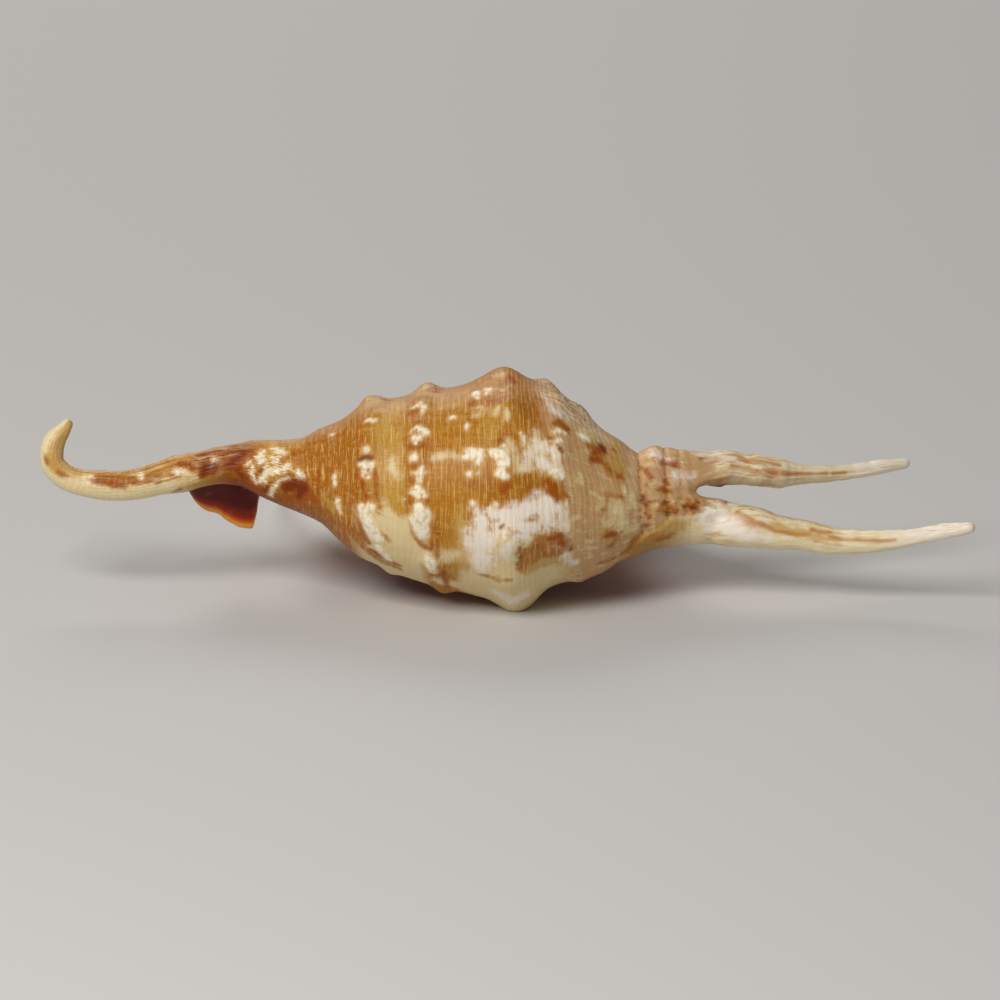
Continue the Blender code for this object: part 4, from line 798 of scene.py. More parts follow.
MAROON_STROKES = (
    ((-21.0, 5.8, 0.25), (-20.2, 6.2, 0.4), (-19.4, 6.1, 0.3)), ((15.6, 7.9, 0.55), (15.8, 7.2, 0.35)),
    ((-32.4, 0.9, 0.65), (-30.9, 1.5, 0.6), (-29.8, 1.5, 0.85), (-30.5, 0.3, 0.45)),
    ((-40.9, 4.8, 0.35), (-40.7, 4.2, 0.3)), ((-43.9, 3.7, 0.55), (-44.4, 3.0, 0.45)),
    ((-38.9, 6.9, 0.35), (-38.3, 7.0, 0.15)), ((-39.4, 3.5, 0.35), (-38.8, 2.8, 0.3)),
    ((-35.2, 0.9, 0.2), (-35.4, 0.4, 0.2)), ((21.7, 0.5, 0.1), (21.9, -0.4, 0.3), (22.1, -1.0, 0.15)),
    ((22.3, -4.4, 0.3),), ((25.4, -2.8, 0.15), (26.8, -2.5, 0.1)), ((27.9, -1.7, 0.3), (27.7, -1.2, 0.15)),
    ((29.6, -1.8, 0.45), (30.4, -1.5, 0.25)), ((-29.9, 1.1, 0.7),),
    ((-32.4, 1.3, 0.65), (-30.6, 2.0, 0.75), (-29.4, 1.0, 0.6), (-30.3, -0.2, 0.45)),
    ((-44.5, 4.0, 0.6), (-42.9, 4.3, 0.6)), ((-40.8, 5.0, 0.6), (-39.6, 6.2, 0.45)),
)
LAYERS = {"gold": GOLD_STROKES, "cream": CREAM_STROKES, "pale": PALE_STROKES, "pink": PINK_STROKES,
          "toast": TOAST_STROKES, "rust": RUST_STROKES, "white": WHITE_STROKES, "brown": BROWN_STROKES,
          "maroon": MAROON_STROKES}
# The edge of the callus that the inner lip spreads over the spire: x and u, as seen from the left
CALLUS_EDGE = ((17.0, -14.0), (18.2, -10.5), (19.2, -8.3), (21.8, -5.4), (24.0, -4.5), (25.8, -2.9),
               (28.5, -2.6), (31.0, -2.1))
CALLUS_EDGE_FADES = (0.0, 0.3)
CALLUS_BEGINS = (17.0, 18.0)
CALLUS_ENDS = (30.0, 33.0)
OFF_ALL_STROKES = -4.0
IN_SIGHT = 0.5


def seen_from_left(x, u):
    """The point of the skin that a viewer at the shell's left sees at x and u."""
    gaps = np.hypot(skin.points[:, 0] - x, skin.points[:, 2] - u)
    near = np.flatnonzero(gaps < max(IN_SIGHT, gaps.min() + 0.01))
    return skin.points[near[np.argmin(skin.points[near, 1])]]


def brush(strokes):
    """How deep each point of the skin lies inside the strokes, in millimetres."""
    depth = np.full(len(skin.points), OFF_ALL_STROKES)
    for stroke in strokes:
        stops = [(seen_from_left(x, u), size) for x, u, size in stroke]
        for (first, first_size), (last, last_size) in zip(stops, stops[1:] or stops):
            way = last - first
            passed = np.clip((skin.points - first) @ way / max(way @ way, 1e-9), 0.0, 1.0)
            gap = np.linalg.norm(skin.points - first - passed[:, None] * way, axis=1)
            depth = np.maximum(depth, first_size + (last_size - first_size) * passed - gap)
    return depth


for name, layer_strokes in LAYERS.items():
    layer = shell_mesh.attributes.new(name, "FLOAT", "POINT")
    layer.data.foreach_set("value", brush(layer_strokes).astype(np.float32))
skin_x, _, skin_u = skin.points.T
callus = ramp(*CALLUS_EDGE_FADES, glide(CALLUS_EDGE, skin_x)[:, 0] - skin_u)
callus = callus * ramp(*CALLUS_BEGINS, skin_x) * (1.0 - ramp(*CALLUS_ENDS, skin_x))
layer = shell_mesh.attributes.new("callus", "FLOAT", "POINT")
layer.data.foreach_set("value", callus.astype(np.float32))


# The shell's relief. The mantle leaves spiral cords along the whorls and growth lines across them as
# it lays them down, and roots and margins are glazed over until they are round. A Geometry Nodes
# tree does that to the drawn form, from what each point knows of its place in the growth.
class Wire:
    """A socket of a node tree, for sums that are written as they read."""

    def __init__(self, tree, socket=None):
        self.tree = tree
        self.socket = socket

    def node(self, kind, settings=None, inputs=None, output=0):
        """Makes a node in this tree from its type, settings and its sockets' values or links."""
        made = self.tree.nodes.new(kind)
        for name, value in (settings or {}).items():
            if name == "stops":
                elements = made.color_ramp.elements
                while len(elements) < len(value):
                    elements.new(0.5)
                for element, (at, colour) in zip(elements, value):
                    element.position = at
                    element.color = colour
            else:
                setattr(made, name, value)
        for key, value in (inputs or {}).items():
            if isinstance(value, Wire):
                self.tree.links.new(value.socket, made.inputs[key])
            else:
                made.inputs[key].default_value = value
        return Wire(self.tree, made.outputs[output])

    def math(self, operation, *values):
        return self.node("ShaderNodeMath", {"operation": operation}, dict(enumerate(values)))

    def __add__(self, other):
        return self.math("ADD", self, other)

    def __radd__(self, other):
        return self.math("ADD", other, self)

    def __sub__(self, other):
        return self.math("SUBTRACT", self, other)

    def __rsub__(self, other):
        return self.math("SUBTRACT", other, self)

    def __mul__(self, other):
        return self.math("MULTIPLY", self, other)

    def __rmul__(self, other):
        return self.math("MULTIPLY", other, self)

    def __truediv__(self, other):
        return self.math("DIVIDE", self, other)

    def sine(self):
        return self.math("SINE", self)

    def fraction(self):
        return self.math("FRACT", self)

    def largest(self, other):
        return self.math("MAXIMUM", self, other)

    def swing(self):
        """A noise's 0 to 1 as -1 to 1."""
        return (self - 0.5) * 2.0

    def rise(self, low, high):
        """Goes smoothly from 0 at low to 1 at high, or the other way where low is the greater."""
        return self.node("ShaderNodeMapRange", {"interpolation_type": "SMOOTHSTEP"},
                         {"Value": self, "From Min": low, "From Max": high})

    def zone(self, fade_in, fade_out):
        """1 over a stretch that fades in and out at its ends."""
        return self.rise(*fade_in) * self.rise(*fade_out)

    def bell(self, centre, width):
        """1 at a value, and smoothly 0 at that width from it."""
        return self.math("ABSOLUTE", self - centre).rise(width, 0.0)

    def noise(self, vector, detail=2.0, roughness=0.5):
        return self.node("ShaderNodeTexNoise", inputs={
            "Vector": vector, "Scale": 1.0, "Detail": detail, "Roughness": roughness})

    def vector(self, x, y, z=0.0):
        return self.node("ShaderNodeCombineXYZ", inputs={"X": x, "Y": y, "Z": z})


MM_PER_DEGREE = math.radians(1.0) * GROWTH_RADIUS
FULL_TURN = 2.0 * math.pi
CORD_SPACING = 0.94
RELIEF_SIZES = (("Cord spacing", CORD_SPACING), ("Cord height", 0.018), ("Growth height", 0.08),
                ("Lamella height", 0.3), ("Lamella step", 0.95), ("Suture depth", 0.28),
                ("Callus height", 0.35), ("Wrinkle height", 0.16), ("Nodule height", 0.2), ("Seed", 3.0))
FILLET_PASSES = 26
ROOT_CLEAR = (3.0, 0.5)
CORDED = ((-37.0, -31.0), (24.0, 20.0))
LOWEST_CORD = 0.35
WING_GROWTH = 1.6
LAMELLA_PLACE = (10.8, 6.0)
LAMELLA_TURNS = ((60.0, 84.0), (130.0, 106.0))
# Sutures of the spire, and the whorls that swell between them: x, share of the depth and half width
SUTURES = ((20.6, 1.0, 0.5), (24.5, 0.8, 0.42), (26.7, 0.5, 0.34), (28.3, 0.45, 0.28))
WHORL_SWELLS = ((22.6, 0.6, 2.0), (25.6, 0.3, 1.1), (27.5, 0.25, 0.9))
SUTURE_CLIMB = 0.0064
SUTURE_TURNS = ((40.0, 70.0), (250.0, 235.0))
NODULES_BEGIN = (-27.0, -23.0)
WRINKLED_CANAL = ((-64.0, -56.0), (-22.0, -34.0))
CANAL_BACK_TURNS = (225.0, 190.0)
CANAL_WRINKLES = 2.0
WING_WRINKLES = 0.8
DIGIT_GRAIN = (1.6, 1.6, 0.1)
DIGIT_FOLDS = 2.0
FOLDS_BEGIN = (0.5, 9.0)
FOLDS_END = (1.0, 0.92)
DIGIT_BACK_TURNS = (235.0, 205.0)
UNDER_DIGIT_FOLDS = 0.4

relief_tree = bpy.data.node_groups.new("shell relief", "GeometryNodeTree")
face = relief_tree.interface
face.new_socket("Geometry", in_out="INPUT", socket_type="NodeSocketGeometry")
face.new_socket("Geometry", in_out="OUTPUT", socket_type="NodeSocketGeometry")
size_sockets = {}
for name, value in RELIEF_SIZES:
    size_sockets[name] = face.new_socket(name, in_out="INPUT", socket_type="NodeSocketFloat")
material_socket = face.new_socket("Material", in_out="INPUT", socket_type="NodeSocketMaterial")
given_node = relief_tree.nodes.new("NodeGroupInput")
pen = Wire(relief_tree)
given = {socket.name: Wire(relief_tree, socket) for socket in given_node.outputs}


def relief_mark(name, kind="FLOAT"):
    return pen.node("GeometryNodeInputNamedAttribute", {"data_type": kind}, {"Name": name})


place, turn, wing, inside, along, share, callused = (
    relief_mark(name) for name in ("place", "turn", "wing", "inside", "along", "share", "callus"))
growth = turn * MM_PER_DEGREE


def relief_noise(x, y, offset, detail, roughness=0.5):
    return pen.noise(pen.vector(x, y, given["Seed"] + offset), detail, roughness)


position = pen.node("GeometryNodeInputPosition")
rounded = pen.node("GeometryNodeBlurAttribute", {"data_type": "FLOAT_VECTOR"},
                   {"Value": position, "Iterations": FILLET_PASSES, "Weight": relief_mark("fillet")})
glazed = pen.node("GeometryNodeSetPosition", inputs={"Geometry": given["Geometry"], "Position": rounded})

# What the mantle leaves on the whorls
wobble = relief_noise(place * 0.5, growth * 0.12, 0.0, 1.0)
strength = relief_noise(place * 0.35, growth * 0.08, 5.0, 2.0).rise(0.3, 0.7)
cord_turns = (place + wobble * 0.5) / given["Cord spacing"] * FULL_TURN
cords = cord_turns.sine() * given["Cord height"] * (LOWEST_CORD + strength) * place.zone(*CORDED)
growth_noise = relief_noise(place * 0.16, growth * 0.9, 9.0, 3.0, 0.6).swing()
growth_lines = growth_noise * given["Growth height"] * (1.0 + wing * WING_GROWTH)
lamella_steps = (growth / given["Lamella step"] + wobble * 1.4).fraction()
lamella_zone = place.bell(*LAMELLA_PLACE) * turn.zone(*LAMELLA_TURNS)
lamellae = lamella_steps * lamella_zone * given["Lamella height"]
coiled = place - (turn - 90.0) * SUTURE_CLIMB
grooves = 0.0
for middle, depth_share, width in SUTURES:
    grooves = coiled.bell(middle, width) * depth_share + grooves
for middle, rise_share, width in WHORL_SWELLS:
    grooves = grooves - coiled.bell(middle, width) * rise_share
grooves = grooves * given["Suture depth"] * turn.zone(*SUTURE_TURNS) * (1.0 - callused)
nodules = relief_mark("white").rise(-0.3, 0.5) * place.rise(*NODULES_BEGIN) * given["Nodule height"]
wrinkled = place.zone(*WRINKLED_CANAL) * turn.rise(*CANAL_BACK_TURNS) * CANAL_WRINKLES
wrinkled = wrinkled + wing.rise(0.1, 0.5) * WING_WRINKLES
wrinkles = relief_noise(place * 0.55, growth * 0.4, 2.0, 3.0, 0.55).swing() * wrinkled
wrinkles = wrinkles * given["Wrinkle height"]

# The digits have long folds and lumps of their own
grained = pen.node("ShaderNodeVectorMath", {"operation": "MULTIPLY"},
                   {0: relief_mark("grain", "FLOAT_VECTOR"), 1: DIGIT_GRAIN})
lumps = relief_noise(along * 0.45, place * 0.3, 12.0, 3.0, 0.6)
folds = (pen.noise(grained, 3.0, 0.6).swing() + lumps.swing()) * given["Wrinkle height"] * DIGIT_FOLDS
under_too = turn.rise(*DIGIT_BACK_TURNS) * (1.0 - UNDER_DIGIT_FOLDS) + UNDER_DIGIT_FOLDS
folds = folds * along.rise(*FOLDS_BEGIN) * share.rise(*FOLDS_END) * under_too
raised = (cords + growth_lines + lamellae - grooves + nodules + wrinkles) * (1.0 - inside)
raised = raised * along.rise(*ROOT_CLEAR) + callused * given["Callus height"] + folds
lift = pen.node("ShaderNodeVectorMath", {"operation": "SCALE"},
                {0: pen.node("GeometryNodeInputNormal"), "Scale": raised * MM})
carved = pen.node("GeometryNodeSetPosition", inputs={"Geometry": glazed, "Offset": lift})

# Nothing reaches below what the shell rests on
height = pen.node("ShaderNodeSeparateXYZ", inputs={"Vector": position}, output=2)
up_again = pen.vector(0.0, 0.0, 0.0 - height.math("MINIMUM", height, 0.0))
worn = pen.node("GeometryNodeSetPosition", inputs={"Geometry": carved, "Offset": up_again})
whole = pen.node("GeometryNodeRealizeInstances", inputs={"Geometry": worn})
painted = pen.node("GeometryNodeSetMaterial", inputs={"Geometry": whole, "Material": given["Material"]})
result = relief_tree.nodes.new("NodeGroupOutput")
relief_tree.links.new(painted.socket, result.inputs["Geometry"])

# The shell's colours and glaze. Caramel brown over cream, in spiral bands and broken by rows of
# white spots, all of it grown into the outer layer; the inner side and the margins carry a glossy
# glaze, orange within the aperture. The noises run along the cords, so the streaks do too.
shell_material = bpy.data.materials.new("shell")
shell_material.use_nodes = True
shell_tree = shell_material.node_tree
glaze = shell_tree.nodes["Principled BSDF"]
pen = Wire(shell_tree)


def linear(red, green, blue):
    """A colour from the values that a picture shows it with."""
    return tuple((value / 255.0) ** 2.2 for value in (red, green, blue)) + (1.0,)


WHITE = linear(252, 242, 218)
PALE = linear(250, 238, 222)
IVORY = linear(236, 219, 174)
CREAM = linear(232, 210, 160)
THREAD = linear(230, 188, 114)
YELLOW = linear(222, 186, 108)
# A pale tan: the shell's own tan by the spire, and also the colour of the painted sheen along the top
TAN_AND_SHEEN = linear(208, 168, 118)
BEIGE = linear(202, 160, 112)
MAUVE = linear(198, 156, 128)
PINK = linear(204, 150, 116)
GOLD = linear(192, 146, 66)
AMBER = linear(202, 142, 46)
OLIVE = linear(172, 130, 66)
RUSSET = linear(190, 116, 36)
CARAMEL = linear(178, 116, 22)
TOAST = linear(166, 98, 14)
RUST = linear(158, 78, 8)
BROWN = linear(134, 70, 10)
UMBER = linear(138, 66, 12)
MAROON = linear(112, 40, 8)
RIM = linear(232, 158, 62)
ORANGE = linear(214, 86, 16)
FLAME = linear(150, 42, 8)
EMBER = linear(88, 12, 5)


def shell_mark(name):
    """What each point of the shell knows under this name."""
    return pen.node("ShaderNodeAttribute", {"attribute_name": name}, output=2)


def mix(cover, below, paint):
    """A paint over what is below it, as far as it covers."""
    return pen.node("ShaderNodeMix", {"data_type": "RGBA"}, {0: cover, 6: below, 7: paint}, output=2)


def paint_over(colour, coats):
    """Lays coats over a colour. Each has its place, a noise with the values where the coat begins
    and is whole, how much it covers there, and its paint."""
    for where, noise, begins, whole, strength, paint in coats:
        colour = mix(noise.rise(begins, whole) * where * strength, colour, paint)
    return colour


def ramp_colours(value, stops):
    """A colour ramp over the places in the stops."""
    low = stops[0][0]
    high = stops[-1][0]
    shares = [((at - low) / (high - low), colour) for at, colour in stops]
    return pen.node("ShaderNodeValToRGB", {"stops": shares}, {"Fac": (value - low) / (high - low)})


place, turn, wing, inside, along, share, callused = (
    shell_mark(name) for name in ("place", "turn", "wing", "inside", "along", "share", "callus"))
growth = turn * MM_PER_DEGREE
FAN_TURNS = (190.0, 96.0)
FAN_PLACE = (0.0, 8.0)
FAN_REACH = 3.5
fanned = place + turn.rise(*FAN_TURNS) * place.rise(*FAN_PLACE) * FAN_REACH
NOISE_APART = 7.0


def grown_noise(seed, across, around, lengthwise=0.0, detail=3.0, roughness=0.55):
    """Noise with so many features a millimetre along x, around the whorl and along a digit."""
    vector = pen.vector(fanned * across, growth * around, along * lengthwise + seed * NOISE_APART)
    return pen.noise(vector, detail, roughness)


drift = grown_noise(0, 0.22, 0.2, 0.3) - 0.5
blotch = grown_noise(1, 0.42, 0.5, 0.4, 4.0, 0.6) - 0.5
fringe = grown_noise(2, 3.0, 0.4, 0.6) - 0.5
crumb = grown_noise(3, 1.3, 1.0, 0.9, 2.0) - 0.5
fibre = grown_noise(10, 2.6, 0.14, 0.2, 4.0, 0.65) - 0.5
on_digit = along.rise(0.0, 4.0)

# The ground, in bands along x: the upper side, and the lighter lower one
LOWER_TURNS = (188.0, 208.0)
banded = fanned + drift * 2.6
upper = ramp_colours(banded, (
    (-78.0, YELLOW), (-66.0, YELLOW), (-60.0, GOLD), (-52.0, GOLD), (-47.0, AMBER), (-44.5, UMBER),
    (-38.0, UMBER), (-34.5, AMBER), (-29.0, TOAST), (-21.0, TOAST), (-17.5, GOLD), (-14.8, GOLD),
    (-13.6, TOAST), (-10.0, CARAMEL), (0.0, CARAMEL), (7.0, TOAST), (9.5, BEIGE), (20.0, BEIGE),
    (24.0, TAN_AND_SHEEN), (29.0, BEIGE)))
lower = ramp_colours(banded, (
    (-73.0, IVORY), (-50.0, IVORY), (-46.0, GOLD), (-40.0, UMBER), (-22.8, TOAST), (-20.0, CREAM),
    (-12.0, CREAM), (-10.4, CARAMEL), (-6.6, CARAMEL), (-5.4, CREAM), (8.0, CREAM), (12.0, BEIGE),
    (29.0, BEIGE)))
low = (turn + blotch * 90.0 + fringe * 20.0).rise(*LOWER_TURNS)

# Coats over the ground: blotches, grain of the back, flecks of the shoulder, streaks of the canal.
# The far side, of which nothing is seen, has flames, flecks and rows of spots like the near one.
BODY = ((-36.0, -29.0), (30.0, 24.0))
SHOULDER_END = (9.0, 5.0)
BACK_TURNS = (158.0, 118.0)
SHOULDER = (-1.5, 7.5)
SHOULDER_TURNS = ((94.0, 106.0), (174.0, 150.0))
POSTERIOR = (7.0, 10.0)
STREAKED_CANAL = ((-66.0, -60.0), (-36.0, -42.0))
CANAL_TURNS = (206.0, 180.0)
CANAL_BEGINS = (-33.0, -40.0)
HOOK_BEGINS = (-55.0, -62.0)
FAR_TURNS = (92.0, 72.0)
FAR_BODY = (-42.0, -32.0)
SPOT_ROWS = ((-18.7, 1.3), (-11.2, 1.3), (0.8, 1.8), (9.0, 1.3))
WING_EDGE = (0.88, 0.98)
on_body = place.zone(*BODY) * (1.0 - on_digit)
brown_part = on_body * place.rise(*SHOULDER_END)
on_shoulder = place.bell(*SHOULDER) * turn.zone(*SHOULDER_TURNS)
canal_back = (turn + blotch * 60.0).rise(*CANAL_TURNS)
on_canal = place.rise(*CANAL_BEGINS) * canal_back
on_hook = place.rise(*HOOK_BEGINS) * canal_back
hidden = turn.rise(*FAR_TURNS) * place.rise(*FAR_BODY)
back_grain = grown_noise(21, 0.35, 1.1, 0.0, 4.0, 0.65) - 0.5
fleck = grown_noise(22, 0.55, 0.75, 0.0, 5.0, 0.7) - 0.5
canal_streak = grown_noise(9, 0.3, 0.34, 0.0, 4.0, 0.6)
striae = grown_noise(15, 0.12, 0.6, 0.0, 3.0, 0.6)
hook_striae = grown_noise(19, 0.1, 0.25, 0.0, 3.0, 0.6)
flames = grown_noise(13, 0.34, 0.13, 0.0, 4.0, 0.6)
far_flecks = grown_noise(14, 0.55, 0.3, 0.0, 4.0, 0.6)
far_rings = grown_noise(17, 0.05, 1.3)
far_spots = grown_noise(16, 0.3, 0.36, 0.0, 2.0)
for middle, width in SPOT_ROWS:
    far_spots = place.bell(middle, width) * 0.24 + far_spots
ground = paint_over(mix(low, upper, lower), (
    (brown_part * (1.0 - low), blotch, 0.02, 0.22, 0.5, TOAST),
    (brown_part * (1.0 - low), blotch, -0.04, -0.2, 0.6, AMBER),
    (brown_part * turn.rise(*BACK_TURNS), back_grain, 0.0, 0.2, 0.55, GOLD),
    (brown_part * turn.rise(*BACK_TURNS), back_grain, 0.0, -0.2, 0.5, UMBER),
    (on_shoulder, fleck, 0.02, 0.14, 0.75, AMBER),
    (on_shoulder, fleck, 0.1, 0.22, 0.6, CREAM),
    (on_shoulder, fleck, -0.03, -0.16, 0.6, UMBER),
    (place.rise(*POSTERIOR), blotch, 0.0, 0.14, 0.7, CREAM),
    (place.rise(*POSTERIOR), drift, 0.02, 0.16, 0.4, PINK),
    (place.zone(*STREAKED_CANAL) * canal_back, canal_streak, 0.5, 0.62, 0.8, TOAST),
    (place.zone(*STREAKED_CANAL) * canal_back, canal_streak, 0.48, 0.36, 0.6, CREAM),
    (on_canal, striae, 0.5, 0.62, 0.5, BEIGE),
    (on_canal, striae, 0.5, 0.38, 0.45, UMBER),
    (on_hook, hook_striae, 0.48, 0.58, 0.85, MAUVE),
    (on_hook, hook_striae, 0.46, 0.36, 0.35, AMBER),
    (hidden, flames, 0.5, 0.64, 0.75, CREAM),
    (hidden, far_flecks, 0.52, 0.64, 0.8, UMBER),
    (hidden, far_spots, 0.73, 0.79, 1.0, WHITE),
    (hidden, far_rings, 0.52, 0.62, 0.35, TOAST)))
ground = mix(wing.rise(*WING_EDGE), ground, CREAM)

# Digits: ivory, streaked with amber on their upper side, blotched with pink at the root, pale at the tip
STREAK_TURNS = (228.0, 200.0)
BLUSH_TURNS = (210.0, 190.0)
DIGIT_BEGINS = (0.5, 7.0)
digit_streak = grown_noise(4, 1.5, 0.4, 0.09) - 0.5
digit_mottle = grown_noise(11, 1.2, 0.6, 0.5, 4.0, 0.6)
digit_ground = paint_over(IVORY, (
    (share.rise(0.9, 0.5) * turn.rise(*STREAK_TURNS), digit_streak, 0.0, 0.16, 0.6, AMBER),
    (share.rise(0.6, 0.1) * turn.rise(*BLUSH_TURNS), digit_mottle, 0.5, 0.62, 1.0, PINK),
    (1.0, digit_mottle, 0.5, 0.4, 0.5, PALE),
    (share.rise(0.62, 0.85), digit_mottle, 0.2, 0.6, 0.9, PALE),
    (share.rise(0.7, 0.9), digit_mottle, 0.5, 0.38, 0.3, BEIGE)))
colour = mix((along + blotch * 9.0).rise(*DIGIT_BEGINS), ground, digit_ground)

# The callus over the spire, thin where it begins
CALLUS_THICKENS = (22.0, 31.0)
colour = mix(callused, colour, mix(place.rise(*CALLUS_THICKENS), OLIVE, IVORY))

# Marks laid down as strokes have frayed edges, coarse ones for the broad fields
coarse_edge = fringe * 2.0 + blotch * 3.0
fine_edge = (crumb * 0.7 + fringe * 0.2) * (1.0 - on_digit * 0.6)
toast_edge = (crumb * 1.1 + blotch * 1.3 - 0.05) * (1.0 - on_digit)


def covered(name, edge, soft):
    """How far a mark covers what is below it."""
    return (shell_mark(name) + edge).rise(0.0 - soft, soft)


covers = {}
for name, soft, strength, paint in (("gold", 0.9, 0.75, GOLD), ("cream", 0.9, 1.0, CREAM),
                                    ("pale", 0.8, 1.0, PALE), ("pink", 0.8, 0.6, PINK)):
    covers[name] = covered(name, coarse_edge, soft)
    colour = mix(covers[name] * strength, colour, paint)
toasted = covered("toast", toast_edge, 0.5) * (1.0 - on_digit * 0.5)
colour = mix(toasted * (fibre.rise(-0.3, 0.1) * 0.35 + 0.6), colour, TOAST)
light_field = covers["cream"].largest(covers["pale"]).largest(low) * (1.0 - toasted)

# The back of the whorl and of the canal, its top as it lies, is painted paler: a painted sheen, the
# highlight of the light from above on its brown, with less of it on the shoulder
TOP_SHEEN_TURNS = (90.0, 42.0)
SHOULDER_WITHOUT_SHEEN = (0.0, 8.0)
top_sheen = turn.bell(*TOP_SHEEN_TURNS) * (1.0 - inside) * (1.0 - on_digit)
top_sheen = top_sheen * (1.0 - place.bell(*SHOULDER_WITHOUT_SHEEN) * 0.85)
colour = mix(top_sheen * (blotch * 1.4 + 0.95) * 0.8, colour, TAN_AND_SHEEN)

# Threads: pale lines along the cords' crests, partly their own pale colour and partly painted glints of the
# light on the crests, broken where the mantle skipped, and darker lines between them, painted shade in the
# troughs. Each row of threads and glints has its harmonic of the cords, how far ahead it runs, how narrow it
# is, its noise (seed, across, around), the values of that where it begins and is whole, and its strength.
THREADS = ((1.0, 0.0, 0.72, (5, 1.1, 0.3), 0.42, 0.6, 1.0),
           (2.0, 1.0, 0.6, (6, 2.1, 0.4), 0.45, 0.62, 0.8),
           (3.0, 2.0, 0.3, (24, 3.0, 0.7), 0.45, 0.65, 0.5))
THREADS_END = (26.0, 10.0)
THREAD_TURNS = (98.0, 126.0)
colour = mix(fibre.rise(0.04, 0.22) * 0.32 * on_body, colour, CREAM)
colour = mix(fibre.rise(-0.04, -0.22) * 0.4 * on_body * (1.0 - light_field * 0.75), colour, TOAST)
wander = grown_noise(20, 0.7, 0.04, 0.0, 1.0) * 1.1 + drift * 0.8
cord_phase = (fanned + wander) / CORD_SPACING * FULL_TURN
threads_and_glints = 0.0
for harmonic, ahead, narrow, beading, begins, whole, strength in THREADS:
    crest = (cord_phase * harmonic + ahead).sine().rise(narrow, 1.0)
    beads = grown_noise(*beading, 0.3, 4.0, 0.6).rise(begins, whole)
    threads_and_glints = (crest * beads * strength).largest(threads_and_glints)
thread_and_shade_zone = on_body * place.rise(*THREADS_END) * (1.0 - callused) * turn.rise(*THREAD_TURNS)
colour = mix(threads_and_glints * thread_and_shade_zone * (1.0 - light_field * 0.5) * (covers["gold"] * 0.25 + 0.7), colour, THREAD)
# Painted shade: darker lines in the troughs between the cords
between = (0.0 - cord_phase.sine()).rise(0.3, 1.0) * grown_noise(7, 0.9, 0.3, 0.3).rise(0.46, 0.62)
growth_ring = grown_noise(8, 0.16, 2.6, 0.3)
hatching = grown_noise(12, 0.7, 3.4, 0.3, 3.0, 0.6) - 0.5
colour = mix(between * thread_and_shade_zone * (1.0 - light_field * 0.8) * 0.3, colour, TOAST)
colour = paint_over(colour, (
    (on_body * (1.0 - light_field * 0.75), growth_ring, 0.52, 0.64, 0.16, TOAST),
    (on_body, hatching, 0.05, 0.2, 0.25, THREAD),
    (on_body * (1.0 - light_field * 0.7), hatching, -0.05, -0.2, 0.3, UMBER)))

# Lamellae by the spire, washed with the painted sheen of the top: pale edges of growth, partly their own
# pale colour and partly a painted highlight where they stand up, and thin dark lines of painted shade in the
# gaps they leave
FRILL_PLACE = (11.0, 7.5)
FRILL_BEGINS = (56.0, 88.0)
FRILL_ENDS = (134.0, 112.0)
FRILL_STEP = 1.05
frilled = (place + blotch * 7.0).bell(*FRILL_PLACE) * on_body
frilled = frilled * (turn + drift * 30.0).rise(*FRILL_BEGINS) * (turn + blotch * 30.0).rise(*FRILL_ENDS)
frill = (growth / FRILL_STEP + grown_noise(23, 0.4, 0.2) * 5.0).fraction()
# Painted shade: thin dark lines in the gaps between the lamellae
gaps = frill.zone((0.72, 0.86), (1.0, 0.9)) * (crumb * 4.0 + 0.5).rise(0.0, 1.0)
colour = mix(frilled * 0.75, colour, TAN_AND_SHEEN)
colour = mix(frill.rise(0.6, 0.2) * frilled * 0.65, colour, PALE)
colour = mix(gaps * frilled * 0.75, colour, BROWN)

# Broken brown along the sutures, a little off their middles, then the small marks: rust, white on a paler
# halo, brown and maroon
SUTURE_BROWN_SHIFT = 0.1
NETTED = (-24.0, -28.0)
coiled = place - (turn - 90.0) * SUTURE_CLIMB
for middle, _, width in SUTURES:
    suture_brown = coiled.bell(middle - SUTURE_BROWN_SHIFT, width * 0.9) * on_body * (1.0 - callused)
    colour = mix(suture_brown * (crumb * 2.0 + 0.35), colour, BROWN)
net = (grown_noise(18, 1.6, 1.5, 1.0, 2.0) - 0.5) * place.rise(*NETTED) * 2.0
spot_edge = fine_edge * 1.2 + net
for name, edge, soft, strength, paint in (
        ("rust", fine_edge + 0.1, 0.42, 0.85, mix(on_digit * 0.85, RUST, RUSSET)),
        ("white", spot_edge + 0.35, 0.6, 0.55, THREAD),
        # The white spots are dimmed where the painted shade between the cords lies
        ("white", spot_edge + 0.05, 0.42, 1.0 - between * 0.45, mix(crumb.rise(-0.16, 0.04), CREAM, WHITE)),
        ("brown", fine_edge * 0.6 + 0.06, 0.3, 0.8, mix(on_digit * 0.8, BROWN, RUSSET)),
        ("maroon", fine_edge + 0.12, 0.55, 0.85, MAROON)):
    colour = mix(covered(name, edge, soft) * strength, colour, paint)

